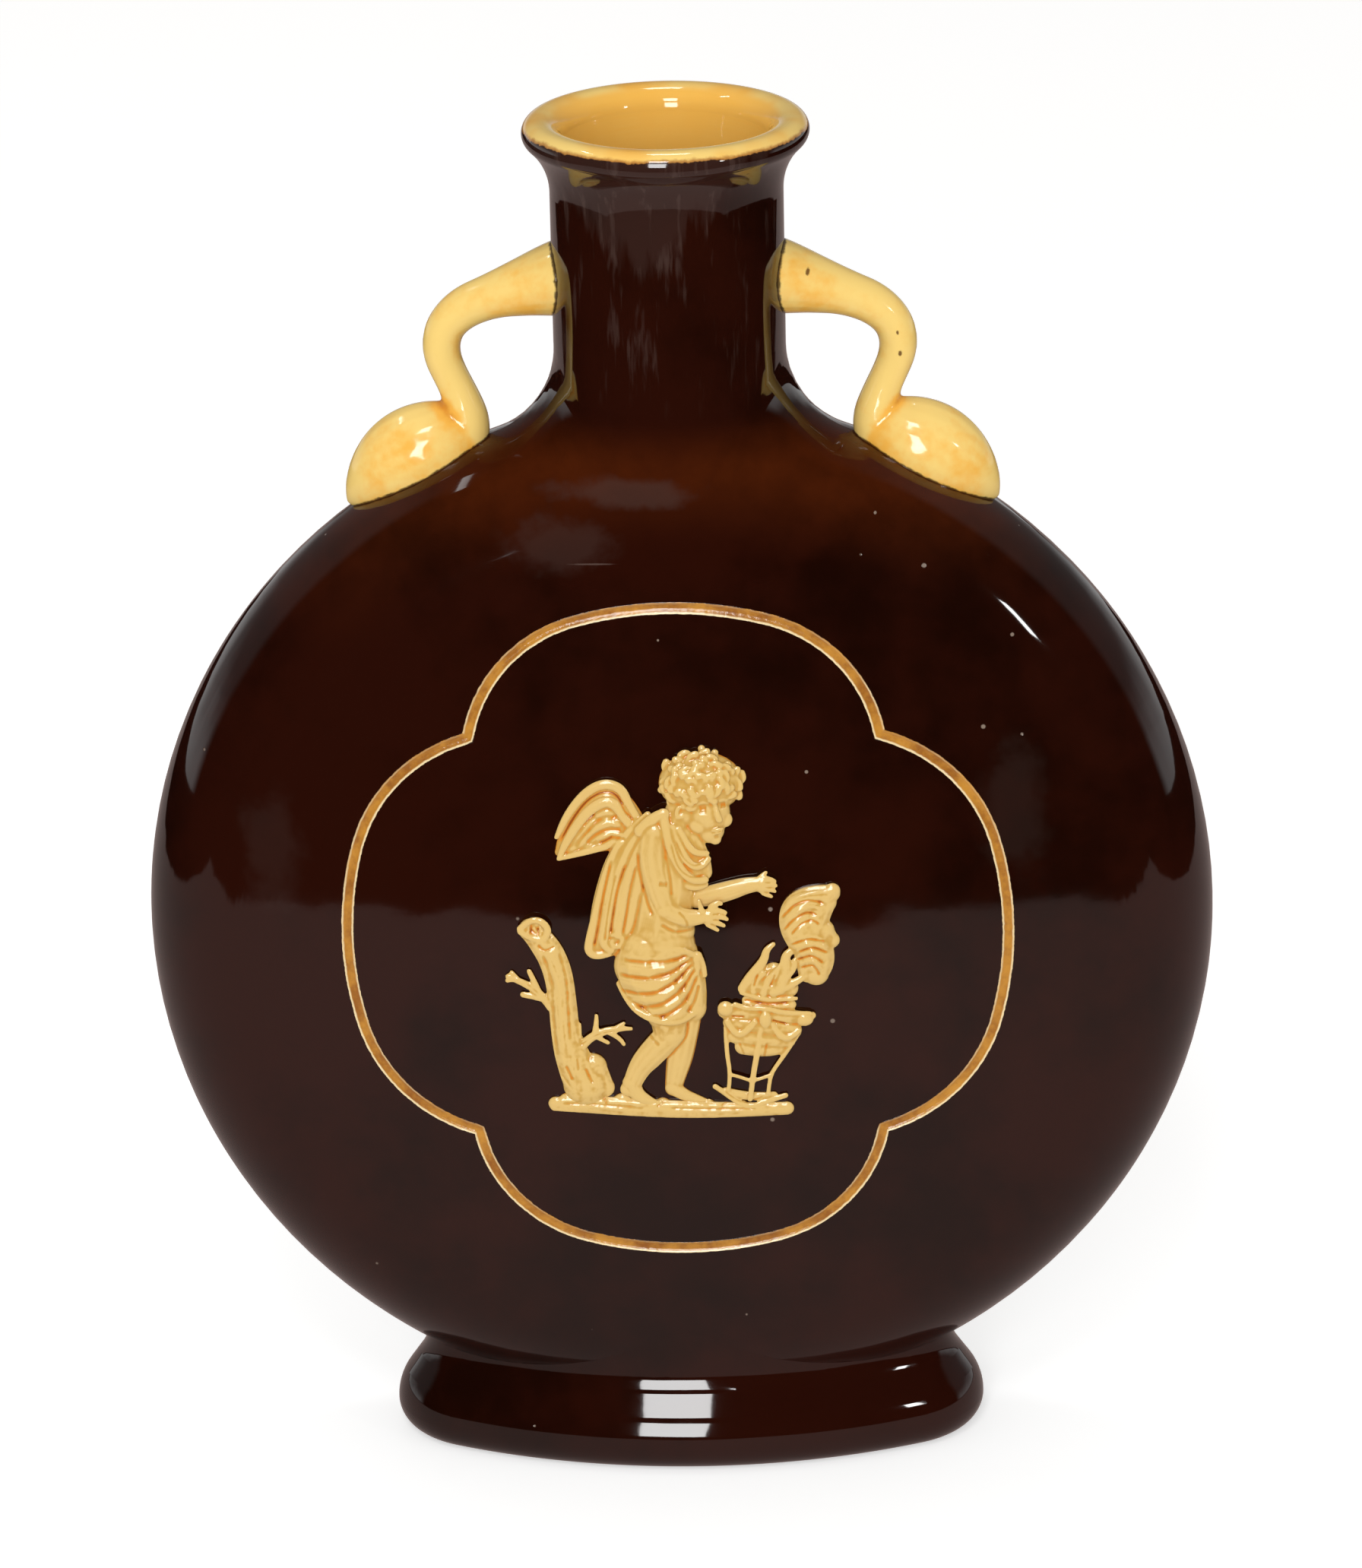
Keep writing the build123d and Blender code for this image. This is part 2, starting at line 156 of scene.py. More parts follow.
# glazes: a pair of limits is where a change begins and ends
glass = {"ior": 1.52, "coat": 0.35, "coatRoughness": 0.03, "matteRoughness": 0.7}
face = {"centre": 101.5 * mm, "depth": 24 * mm, "domeRadius": 747.8 * mm,
        "domeEdge": (77.5 * mm, 78.0 * mm), "meshGap": (0.1 * mm, 0.25 * mm)}
brown = {
    "body": linear(40, 12, 5), "deep": linear(24, 6, 2), "warm": linear(84, 34, 9),
    # paintedReflection is a grey painted on the front as reflection, on the neck and in pale patches
    "paintedReflection": linear(84, 66, 60), "speckColour": linear(150, 132, 118), "roughness": 0.035,
    "mottle": 38 * mm, "fine": 6 * mm, "patchy": (0.42, 0.72), "front": (-8 * mm, 0.0),
    "warmRise": (160 * mm, 196 * mm), "warmFall": (188 * mm, 201 * mm), "warmRagged": 40 * mm,
    "thinEdge": (74 * mm, 97 * mm), "wave": 30 * mm, "waveDepth": 0.5 * mm, "ripple": 3.2 * mm,
    "dot": 5.6 * mm, "dotChance": (0.90, 0.91), "matteZone": (-2, 184, 50, 19), "matteFade": (0.6, 1.0),
    "smudgesAndReflections": [(-8, 187, 15, 3.4, 0.3), (-20, 178, 12, 6, 0.2), (-13.7, 174.4, 4.5, 0.2, 0.9),
                (-72, 122, 7, 14, 0.12), (60, 128, 8, 15, 0.12)],  # an oval in mm, and how strong it is; pale patches of painted reflection where the glaze is also rougher
    "specks": [(54.7, 143.6, 0.5), (23.4, 136.1, 0.4), (36.0, 182.0, 0.3), (59.9, 160.0, 0.4),
               (-2.4, 160.6, 0.25)],  # x, z and size in mm
}
# where the painted reflection on the neck hangs and streaks
reflectionStreaks = {"size": 2.4 * mm, "drawnOut": 0.14, "fringe": 20 * mm, "middle": -4 * mm, "narrowing": 0.9,
           "hangsFrom": (225 * mm, 230 * mm), "hanging": 0.2, "neckFrom": (200 * mm, 212 * mm),
           "lines": (0.56, 0.7), "lineStrength": 0.3}
cream = {
    "body": linear(254, 189, 80), "pale": linear(255, 218, 128), "pooled": linear(222, 140, 44),
    "deep": linear(160, 84, 22), "inside": linear(255, 196, 90),
}


def glazeShader(tree, colour, roughness, normal, matte=None):
    shader = tree.node("BsdfPrincipled", None, {
        "Base Color": colour, "Roughness": roughness, "Normal": normal, "IOR": glass["ior"],
        "Coat Weight": glass["coat"], "Coat Roughness": glass["coatRoughness"], "Coat Normal": normal})
    if matte:
        flat = tree.node("BsdfPrincipled", None, {"Base Color": colour, "Normal": normal,
                                                  "Roughness": glass["matteRoughness"],
                                                  "Specular IOR Level": 0.0})
        shader = tree.node("MixShader", None, {0: matte, 1: shader, 2: flat})
    tree.node("OutputMaterial", None, {"Surface": shader})
    return tree.owner


def trueNormal(tree, place, x, y, z):  # a sphere's own normal on the two domed faces, the mesh's elsewhere
    deep = y.maths("SIGN", y) * (face["depth"] - face["domeRadius"])
    middle = tree.node("CombineXYZ", None, {"X": 0.0, "Y": deep, "Z": face["centre"]})
    outward = tree.vector("SUBTRACT", place, middle)
    gap = tree.node("VectorMath", {"operation": "LENGTH"}, {0: outward}, 1) - face["domeRadius"]
    onDome = tree.fade(abs(gap), *face["meshGap"]) * tree.fade(far(x, z - face["centre"]), *face["domeEdge"])
    domed = tree.node("VectorMath", {"operation": "NORMALIZE"}, {0: outward})
    own = tree.node("NewGeometry", output=1)
    return tree.node("Mix", {"data_type": "VECTOR"}, {0: onDome, 4: own, 5: domed}, 1)


def brownDots(tree, place):  # pinholes of different sizes in a tenth of the cells
    cells = {"Vector": place, "Scale": 1 / brown["dot"], "Randomness": 1.0}
    distance, cellColour = (tree.node("TexVoronoi", None, cells, output) for output in (0, 1))
    chance, size = (tree.node("SeparateColor", None, {"Color": cellColour}, channel) for channel in (0, 1))
    inDot = tree.fade(distance, 0.01 + size * 0.05, 0.04 + size * 0.07)
    return tree.smooth(chance, *brown["dotChance"]) * inDot


def neckReflections(tree, place, x, z):  # painted reflection: a grey haze that hangs from the lip, and thin lines drawn down the neck
    drawn = tree.vector("MULTIPLY", place, (1, 1, reflectionStreaks["drawnOut"]))
    lines = tree.noise(drawn, reflectionStreaks["size"], 3.0, 0.65)
    height = z + (lines - 0.5) * reflectionStreaks["fringe"] - abs(x - reflectionStreaks["middle"]) * reflectionStreaks["narrowing"]
    hanging = tree.smooth(height, *reflectionStreaks["hangsFrom"]) * reflectionStreaks["hanging"]
    onNeck = tree.smooth(z, *reflectionStreaks["neckFrom"]) * reflectionStreaks["lineStrength"]
    return hanging + onNeck * tree.smooth(lines, *reflectionStreaks["lines"])


def brownFinish(tree):  # colour, roughness, normal and matte share of the brown glaze
    place, (x, y, z) = tree.objectPlace()
    front = tree.fade(y, *brown["front"])
    mottle, fine = tree.noise(place, brown["mottle"], 4.0, 0.55), tree.noise(place, brown["fine"], 3.0, 0.6)
    warmth = tree.smooth(z + (mottle - 0.5) * brown["warmRagged"], *brown["warmRise"])
    warmth = warmth * tree.fade(z, *brown["warmFall"])
    warmth = warmth * tree.smooth(far(x, z - face["centre"]), *brown["thinEdge"])  # thin on the round edge
    colour = tree.tint(tree.smooth(mottle + fine * 0.2, *brown["patchy"]), brown["deep"], brown["body"])
    colour = tree.tint(warmth * (0.35 + fine * 0.7), colour, brown["warm"])
    dots = brownDots(tree, place)
    colour = tree.tint(dots * 0.75, colour, brown["speckColour"])
    # painted reflection: the grey haze and lines on the neck's front, tinted into the brown
    colour = tree.tint(neckReflections(tree, place, x, z) * front, colour, brown["paintedReflection"])
    roughness = brown["roughness"]
    # painted reflection: pale grey patches on the front, where the glaze is also made rougher
    for *spot, strength in brown["smudgesAndReflections"]:
        patch = tree.fade(oval(x, z, *spot) + (fine - 0.5) * 1.3, 0.35, 1.0) * front
        colour = tree.tint(patch * strength, colour, brown["paintedReflection"])
        roughness = patch * 0.12 * strength + roughness
    for spotX, spotZ, size in brown["specks"]:
        away = far(x - spotX * mm, z - spotZ * mm) + (fine - 0.5) * size * 0.5 * mm
        speck = tree.fade(away, size * 0.6 * mm, size * mm) * front
        colour = tree.tint(speck * 0.8, colour, brown["speckColour"])
    wave, ripple = tree.noise(place, brown["wave"], 2.0, 0.4), tree.noise(place, brown["ripple"], 2.0, 0.5)
    normal = tree.bump(brown["waveDepth"], wave + ripple * 0.015 - dots * 0.15,
                       Normal=trueNormal(tree, place, x, y, z))
    matte = tree.fade(oval(x, z, *brown["matteZone"]), *brown["matteFade"]) * front
    return colour, roughness + ripple * 0.03 + dots * 0.3, normal, matte


def brownGlaze():
    tree = Tree(bpy.data.materials.new("brownGlaze"))
    return glazeShader(tree, *brownFinish(tree))


lipFinish = {
    "wall": 20.3 * mm, "wallDrawnIn": 1.6 * mm, "wallRise": (240 * mm, 246 * mm), "wallSoft": 0.3 * mm,
    "edge": 248.35 * mm, "ragged": 1.1 * mm, "edgeSoft": 0.12 * mm, "rimTop": (0.1 * mm, 0.7 * mm),
    "bore": (19.4 * mm, 20.8 * mm), "ring": 0.7 * mm, "ringSway": 2 * mm,
}


def lipGlaze():  # cream in the mouth and over the edge, brown below a ragged line
    tree = Tree(bpy.data.materials.new("lipGlaze"))
    place, (x, y, z) = tree.objectPlace()
    out, edge = far(x, y), lipFinish["edge"]
    ragged, slow = tree.noise(place, 2.2 * mm, 4.0, 0.7), tree.noise(place, 11 * mm, 2.0, 0.5)
    above = z + (ragged - 0.5) * lipFinish["ragged"] + (slow - 0.5) * lipFinish["ragged"]
    wall = lipFinish["wall"] - tree.fade(z, *lipFinish["wallRise"]) * lipFinish["wallDrawnIn"]
    outside = tree.smooth(out - wall, 0.0, lipFinish["wallSoft"])
    brownPart = outside * tree.fade(above, edge - lipFinish["edgeSoft"], edge + lipFinish["edgeSoft"])
    rim = outside * tree.fade(above, *(edge + limit for limit in lipFinish["rimTop"]))
    turned = tree.node("CombineXYZ", None, {"X": slow * lipFinish["ringSway"], "Y": 0.0, "Z": z})
    rings = tree.noise(turned, lipFinish["ring"], 2.0, 0.6)
    colour = tree.tint(tree.smooth(slow, 0.35, 0.7), cream["pale"], cream["body"])
    colour = tree.tint(tree.fade(out, *lipFinish["bore"]) * (0.75 + rings * 0.35), colour, cream["inside"])
    colour = tree.tint(rim * 0.75, colour, cream["deep"])
    brownColour, roughness, normal, _ = brownFinish(tree)
    return glazeShader(tree, tree.tint(brownPart, colour, brownColour), roughness + 0.02, normal)


def dress(obj, material):
    obj.data.materials.clear()
    obj.data.materials.append(material)


brownMaterial = brownGlaze()
for name in ("body_front", "body_back", "neck", "foot"):
    dress(nodes[name], brownMaterial)
dress(nodes["lip"], lipGlaze())
print("glazes made")

# camera: angles in degrees, the focal length in the photograph's pixels
view = {"elevation": 20.64, "yaw": 1.93, "roll": -1.17, "aim": (0.42 * mm, 0, 125.42 * mm),
        "distance": 1.350, "focal": 9857, "image": (1792, 2063), "sensor": 36}


def towards(azimuth, elevation):  # a direction; azimuth is measured from the front, to the right
    azimuth, elevation = radians(azimuth), radians(elevation)
    return Vector((sin(azimuth) * cos(elevation), -cos(azimuth) * cos(elevation), sin(elevation)))


away = towards(view["yaw"], view["elevation"])
side = Vector((0, 0, 1)).cross(away).normalized()
rise = away.cross(side)
turn = radians(view["roll"])
sideways, upwards = side * cos(turn) + rise * sin(turn), rise * cos(turn) - side * sin(turn)
eye = Vector(view["aim"]) + away * view["distance"]
bpy.ops.object.camera_add()
camera = bpy.context.object
camera.name = "photoCamera"
camera.matrix_world = Matrix.Translation(eye) @ Matrix((sideways, upwards, away)).transposed().to_4x4()
camera.data.sensor_fit = "VERTICAL"
camera.data.sensor_height = view["sensor"]
camera.data.lens = view["sensor"] * (view["focal"] / view["image"][1])
camera.data.clip_start, camera.data.clip_end = 0.05, 50
bpy.context.scene.camera = camera
bpy.context.scene.view_settings.view_transform = "Standard"

# table and room: the room is dark in front of the flask and pale behind it, where the glaze mirrors them
studio = {
    "tableFront": -0.60, "tableBack": 3.0, "tableHalf": 2.2, "table": 0.86, "glow": 0.50,
    "tableMirror": linear(150, 134, 130), "mirrorFront": (-0.318, -0.306), "mirrorSides": (0.52, 0.54),
    "grain": 0.06, "ragged": 0.05, "room": linear(44, 26, 22), "roomGrain": 0.35, "backdrop": 0.62,
    "above": 0.12, "backFrom": (-0.02, 0.16), "dimsFrom": (-0.04, 0.22), "dimRagged": 0.2,
    "fill": 0.44, "fillColour": (1, 0.985, 0.96, 1),
}
white = (1, 1, 1, 1)
bpy.ops.object.select_all(action="DESELECT")
bpy.ops.mesh.primitive_plane_add(size=2, location=(0, 0, 0))
table = bpy.context.object
table.name = "paleTable"
for corner in table.data.vertices:
    corner.co.x *= studio["tableHalf"]
    corner.co.y = studio["tableFront"] if corner.co.y < 0 else studio["tableBack"]


def lightPaths(tree):  # camera, glossy and transmission rays
    return [tree.node("LightPath", output=index) for index in (0, 3, 6)]


def tableMaterial():
    tree = Tree(bpy.data.materials.new("paleTable"))
    place, (x, y, _) = tree.objectPlace()
    cameraRay, glossyRay, _ = lightPaths(tree)
    paper = tree.node("BsdfPrincipled", None, {"Base Color": (studio["table"],) * 3 + (1,),
                                               "Roughness": 0.9, "Specular IOR Level": 0.1})
    glow = tree.node("Emission", None, {"Color": white, "Strength": studio["glow"]})
    grain = tree.noise(place, studio["grain"], 4.0, 0.7)
    ragged = (grain - 0.5) * studio["ragged"]
    sheet = tree.smooth(y + ragged, *studio["mirrorFront"])
    sheet = sheet * tree.fade(abs(x) + ragged, *studio["mirrorSides"])
    mirrored = tree.node("Emission", None, {
        "Color": tree.tint(sheet, tree.tint(grain, (0, 0, 0), studio["room"]), studio["tableMirror"])})
    bright = tree.node("AddShader", None, {0: paper, 1: glow})
    direct = tree.node("MixShader", None, {0: cameraRay, 1: paper, 2: bright})
    surface = tree.node("MixShader", None, {0: glossyRay, 1: direct, 2: mirrored})
    tree.node("OutputMaterial", None, {"Surface": surface})
    return tree.owner


table.data.materials.append(tableMaterial())


def roomWorld():
    tree = Tree(bpy.data.worlds.new("softRoom"))
    cameraRay, glossyRay, throughRay = lightPaths(tree)
    direction = tree.node("TexCoord")
    backness, height = (tree.node("SeparateXYZ", None, {"Vector": direction}, axis) for axis in (1, 2))
    patches = tree.noise(direction, studio["roomGrain"], 3.0, 0.6)
    dark = tree.tint(patches, (0, 0, 0), studio["room"])
    dimming = tree.smooth(height + (patches - 0.5) * studio["dimRagged"], *studio["dimsFrom"])
    pale = tree.tint(dimming, (studio["backdrop"],) * 3, (studio["above"],) * 3)
    mirrored = tree.tint(tree.smooth(backness, *studio["backFrom"]), dark, pale)
    fill = tree.node("Background", None, {"Color": studio["fillColour"], "Strength": studio["fill"]})
    mirror = tree.node("Background", None, {"Color": mirrored, "Strength": 1.0})
    backdrop = tree.node("Background", None, {"Color": white, "Strength": 1.0})
    seen = tree.node("MixShader", None, {0: glossyRay.maths("MAXIMUM", glossyRay, throughRay),
                                         1: fill, 2: mirror})
    surface = tree.node("MixShader", None, {0: cameraRay, 1: seen, 2: backdrop})
    tree.node("OutputWorld", None, {"Surface": surface})
    return tree.owner


bpy.context.scene.world = roomWorld()

lamps = {  # azimuth and elevation in degrees, distance, size in metres, watts
    "frontBox": (-5, 16, 1.9, (0.44, 0.95), 15),
    "upperBox": (-5, 44, 1.9, (0.40, 0.42), 6.0),
    "rightBox": (47, 20, 1.9, (0.08, 0.20), 1.1),
    "leftBox": (-98, 57, 1.8, (0.40, 0.05), 1.0),
    "topBox": (180, 74, 1.6, (0.30, 0.25), 2),
}
lampAim = Vector((0, 0, 0.12))
for name, (azimuth, elevation, distance, size, watts) in lamps.items():
    out = towards(azimuth, elevation)
    bpy.ops.object.light_add(type="AREA", location=lampAim + out * distance)
    box = bpy.context.object
    box.name = name
    box.rotation_euler = out.to_track_quat("Z", "Y").to_euler()
    box.data.shape = "RECTANGLE"
    box.data.size, box.data.size_y = size
    box.data.energy = watts
print("studio set")


# mesh work that several pieces share
def finishPiece(made, nodeName, kind, material):  # handle_left gives leftHandle, and so on
    dress(made, material)
    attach(made, "root")
    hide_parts(nodeName)
    made.name = nodeName.split("_")[1] + kind
    bpy.ops.object.select_all(action="DESELECT")
    print(made.name, "made:", len(made.data.polygons), "faces")


def tube(knots, steps, sides):  # round, along a smooth line; knots are x, y, z in metres, radius in mm
    bpy.ops.curve.primitive_nurbs_path_add(location=(0, 0, 0))
    made = bpy.context.object
    made.data.splines.clear()
    line = made.data.splines.new("NURBS")
    line.points.add(len(knots) - 1)
    for knot, (x, y, z, radius) in zip(line.points, knots):
        knot.co, knot.radius = (x, y, z, 1), radius
    line.order_u = min(3, len(knots))
    line.use_endpoint_u = True
    line.resolution_u = steps
    made.data.bevel_depth, made.data.bevel_resolution, made.data.use_fill_caps = mm, sides, True
    bpy.ops.object.convert(target="MESH")
    return bpy.context.object


def meltTogether(parts, voxel, softening):  # one closed skin over all the parts, then softened
    for part in parts:
        part.select_set(True)
    bpy.context.view_layer.objects.active = parts[0]
    bpy.ops.object.join()
    bpy.ops.object.transform_apply(location=True, rotation=True, scale=True)
    made = bpy.context.object
    melt = made.modifiers.new("melt", "REMESH")
    melt.mode, melt.voxel_size = "VOXEL", voxel
    bpy.ops.object.modifier_apply(modifier="melt")
    soften = made.modifiers.new("soften", "SMOOTH")
    soften.factor, soften.iterations = 0.5, softening
    bpy.ops.object.modifier_apply(modifier="soften")
    return made


def cutFlat(cuts, **cleared):  # cuts the active piece at planes and closes it there
    bpy.ops.object.mode_set(mode="EDIT")
    for spot, normal in cuts:
        bpy.ops.mesh.select_all(action="SELECT")
        bpy.ops.mesh.bisect(plane_co=spot, plane_no=normal, use_fill=True, **cleared)
    bpy.ops.mesh.select_all(action="DESELECT")
    bpy.ops.object.mode_set(mode="OBJECT")


def vertexRows(mesh, kind="co"):  # the vertices' places or normals, one row each
    values = np.zeros(len(mesh.vertices) * 3)
    mesh.vertices.foreach_get(kind, values)
    return values.reshape(-1, 3)


def edgeRows(mesh):
    ends = np.zeros(len(mesh.edges) * 2, dtype=np.int64)
    mesh.edges.foreach_get("vertices", ends)
    return ends.reshape(-1, 2)


def paint(mesh, name, values):  # a value at each vertex, for the material to read
    mesh.attributes.new(name, "FLOAT", "POINT").data.foreach_set("value", values)


def spread(field, edges, rounds):  # the field, evened out over the mesh
    count = np.bincount(edges.ravel(), minlength=len(field))
    for _ in range(rounds):
        total = np.bincount(edges[:, 0], field[edges[:, 1]], len(field))
        total += np.bincount(edges[:, 1], field[edges[:, 0]], len(field))
        field = total / np.maximum(count, 1)
    return field


def domeDepth(x, z):  # how far the domed face stands from the middle plane
    rho = np.hypot(x, z - face["centre"])
    return face["depth"] - face["domeRadius"] + np.sqrt(face["domeRadius"] ** 2 - rho ** 2)


# relief: sprigs modelled full and round on a sketch, then pressed flat on to the domed face
# the sketch is the photograph from (left, top), enlarged; across, down, out and radius are in its units
sketch = {"left": 640, "top": 960, "enlarged": 3.015, "perMm": 22.0}
pressing = {
    "voxel": 0.195 * mm, "softening": 3, "flatten": 0.43, "seat": 0.35 * mm, "highest": 2.78 * mm,
    "cut": -8, "faceFrom": 2, "faceOver": 8, "seatFrom": 1.5, "waves": (36, 13), "smallWave": 0.3,
    # the pool values set how far hollows and the foot are coloured as pooled glaze and painted shade
    "poolNear": (8, 4.5), "poolWide": (40, 14.0), "poolShare": 0.45, "poolBase": 0.15,
    "footHeight": 20, "footFrom": 2, "footShare": 0.34,
}


def onPanel(across, down):  # the place of a sketch point on the plane that touches the face
    imageWide, imageTall = view["image"]
    pixelX = sketch["left"] + across / sketch["enlarged"] - imageWide / 2
    pixelY = imageTall / 2 - sketch["top"] - down / sketch["enlarged"]
    ray = sideways * pixelX + upwards * pixelY - away * view["focal"]
    hit = eye + ray * ((-face["depth"] - eye.y) / ray.y)
    return hit.x, hit.z


def lump(across, down, out, radius, wide=1.0, tall=1.0, thick=1.0, lean=0.0):
    x, z = onPanel(across, down)
    bpy.ops.mesh.primitive_uv_sphere_add(segments=24, ring_count=14, radius=radius / sketch["perMm"] * mm,
                                         location=(x, -out / sketch["perMm"] * mm, z),
                                         rotation=(0, radians(lean), 0), scale=(wide, thick, tall))
    return bpy.context.object


def roll(points):  # a round, tapering roll on the sketch, with round ends
    knots = []
    for across, down, out, radius in points:
        x, z = onPanel(across, down)
        knots.append((x, -out / sketch["perMm"] * mm, z, radius / sketch["perMm"]))
    return [tube(knots, 6, 3), lump(*points[0]), lump(*points[-1])]


def smoothLine(line, steps=6):  # more points on a smooth line through the given ones
    if len(line) < 3:
        return line
    knots = [line[0], *line, line[-1]]
    points = []
    for before, first, second, after in zip(knots, knots[1:], knots[2:], knots[3:]):
        for step in range(steps):
            t = step / steps
            points.append(tuple(0.5 * (2 * q + (r - p) * t + (2 * p - 5 * q + 4 * r - o) * t * t
                                       + (3 * q - p - 3 * r + o) * t ** 3)
                                for p, q, r, o in zip(before, first, second, after)))
    return points + [line[-1]]


def strokeHeights(across, down, strokes):  # how far tapering strokes raise or lower each point of a surface
    heights = np.zeros(len(across))
    for height, halfWidth, line in strokes:
        points = smoothLine(line)
        nearest, place = np.full(len(across), 1e9), np.zeros(len(across))
        for index, ((a0, d0), (a1, d1)) in enumerate(zip(points, points[1:])):
            runA, runD = a1 - a0, d1 - d0
            along = ((across - a0) * runA + (down - d0) * runD) / (runA * runA + runD * runD)
            along = np.clip(along, 0, 1)
            gap = np.hypot(across - a0 - along * runA, down - d0 - along * runD)
            place = np.where(gap < nearest, (index + along) / (len(points) - 1), place)
            nearest = np.minimum(nearest, gap)
        taper = np.clip(0.15 + 9 * place * (1 - place), 0, 1)
        ridge = np.where(nearest < halfWidth, 0.5 + 0.5 * np.cos(pi * nearest / halfWidth), 0)
        heights += height * taper * ridge
    return heights


def onSketch(spots):  # where the vertices lie on the sketch, across and down
    base, acrossEnd, downEnd = (np.array(onPanel(*corner)) for corner in [(0, 0), (1000, 0), (0, 1000)])
    lie = np.linalg.inv(np.array([acrossEnd - base, downEnd - base]).T / 1000)
    return lie @ (spots[:, [0, 2]] - base).T


def handWaves(across, down):  # the small unevenness of a hand-modelled surface
    large, small = pressing["waves"]
    return np.array([noise.noise(Vector((a, d, 0)) / large)
                     + pressing["smallWave"] * noise.noise(Vector((a, d, 50)) / small)
                     for a, d in zip(across, down)])


def poolsAndPaintedShade(out, edges):  # 0 where the glaze is thin on ridges, 1 in hollows and at the foot: pooled glaze, and painted shade for the shading the pressed-flat relief lacks
    hollow = sum((spread(out, edges, rounds) - out) / depth
                 for rounds, depth in (pressing["poolNear"], pressing["poolWide"]))
    foot = np.clip(1 - (out - pressing["footFrom"]) / pressing["footHeight"], 0, 1)
    return np.clip(hollow * pressing["poolShare"] + pressing["poolBase"] + foot * pressing["footShare"], 0, 1)


def pressSprig(name, sprig, material):
    bpy.ops.object.select_all(action="DESELECT")
    parts = sum((roll(points) for points in sprig["rolls"]), [])
    parts += [lump(*values) for values in sprig.get("lumps", [])]
    made = meltTogether(parts, pressing["voxel"], pressing["softening"])
    cutFlat([((0, -pressing["cut"] / sketch["perMm"] * mm, 0), (0, 1, 0))], clear_outer=True)
    mesh = made.data
    spots, edges = vertexRows(mesh), edgeRows(mesh)
    out = -spots[:, 1] / mm * sketch["perMm"]
    across, down = onSketch(spots)
    front = np.clip((out - pressing["cut"] - pressing["faceFrom"]) / pressing["faceOver"], 0, 1)
    carving = strokeHeights(across, down, sprig["strokes"]) + handWaves(across, down) * sprig["uneven"]
    out = out + carving * front
    out = out * 0.5 + spread(out, edges, 1) * 0.5
    # painted shade with the pooled glaze: hollows and the relief's foot are coloured orange, measured on the
    # full round forms before they are pressed flat
    paint(mesh, "poolAndShade", poolsAndPaintedShade(out, edges))
    raised = np.minimum(out * pressing["flatten"] / sketch["perMm"] * mm, pressing["highest"])
    raised = np.where(out < pressing["cut"] + pressing["seatFrom"], -pressing["seat"], raised)
    spots[:, 1] = -domeDepth(spots[:, 0], spots[:, 2]) - raised
    mesh.vertices.foreach_set("co", spots.ravel())
    mesh.update()
    bpy.ops.object.shade_smooth()
    finishPiece(made, name, "Relief", material)


wing = {
    "rolls": [
        [(600, 372, -6, 34), (552, 296, -10, 40), (486, 262, -12, 44), (424, 286, -12, 44),
         (362, 350, -12, 42), (312, 428, -10, 34), (290, 490, -6, 20)],
        [(590, 420, -8, 44), (500, 370, -16, 62), (420, 400, -16, 62), (350, 456, -12, 44),
         (304, 505, -6, 18)],
        [(560, 440, -10, 44), (470, 440, -14, 46), (380, 470, -12, 36), (305, 506, -6, 14)],
        [(600, 352, 34, 15), (566, 300, 34, 17), (540, 240, 34, 20), (492, 216, 34, 21), (440, 222, 34, 20),
         (388, 256, 32, 19), (342, 308, 28, 17), (302, 372, 24, 15), (277, 430, 18, 9)],
        [(590, 396, 36, 19), (552, 356, 38, 20), (522, 306, 38, 22), (482, 282, 38, 23), (434, 300, 36, 22),
         (386, 342, 34, 20), (342, 404, 30, 18), (304, 468, 26, 15), (286, 514, 20, 9)],
        [(286, 514, 20, 9), (345, 498, 24, 12), (405, 482, 26, 14), (468, 464, 28, 15)],
        [(470, 464, 28, 14), (520, 430, 30, 18), (574, 404, 34, 20)],
    ],
    "lumps": [(474, 340, 6, 40, 1.2, 1, 1, -30), (430, 388, 4, 40, 1.3, 0.9, 1, -35), (508, 376, 6, 40),
              (462, 418, 6, 36, 1.3, 0.9, 1, -20), (388, 432, 4, 34, 1.4, 0.8, 1, -40),
              (345, 470, 4, 24, 1.6, 0.8, 1, -30), (520, 418, 8, 32), (412, 462, 8, 24, 1.6, 0.8, 1, -10)],
}
cape = {
    "rolls": [
        [(620, 420, 10, 66), (565, 600, 0, 78), (520, 760, -4, 72), (482, 850, -10, 56)],
        [(600, 380, 20, 42), (530, 500, 12, 52), (480, 640, 8, 50), (452, 780, 6, 48), (444, 858, 0, 46)],
        [(640, 334, 52, 15), (565, 400, 46, 18), (508, 484, 42, 18), (467, 590, 40, 18), (437, 720, 38, 18),
         (410, 830, 38, 19), (404, 876, 36, 19), (440, 896, 36, 18), (484, 882, 36, 16)],
        [(655, 348, 66, 16), (588, 428, 62, 19), (541, 520, 56, 20), (508, 620, 52, 19), (484, 730, 50, 19),
         (466, 812, 50, 19), (466, 852, 48, 18), (494, 868, 46, 15)],
        [(668, 354, 78, 18), (612, 452, 72, 22), (576, 545, 64, 23), (553, 640, 58, 22), (538, 735, 54, 20),
         (524, 806, 52, 19)],
        [(675, 384, 82, 16), (628, 500, 70, 19), (601, 600, 60, 19), (582, 700, 54, 18), (564, 786, 50, 16),
         (548, 828, 46, 14)],
        [(650, 470, 78, 14), (620, 560, 64, 15), (604, 650, 56, 14), (590, 735, 48, 12)],
        [(500, 806, 50, 12), (530, 802, 56, 12), (546, 830, 56, 12), (528, 854, 52, 12), (500, 850, 50, 12),
         (494, 828, 50, 12), (512, 826, 44, 14)],
        [(705, 324, 88, 22), (660, 338, 86, 26), (615, 394, 70, 28)],
    ],
}
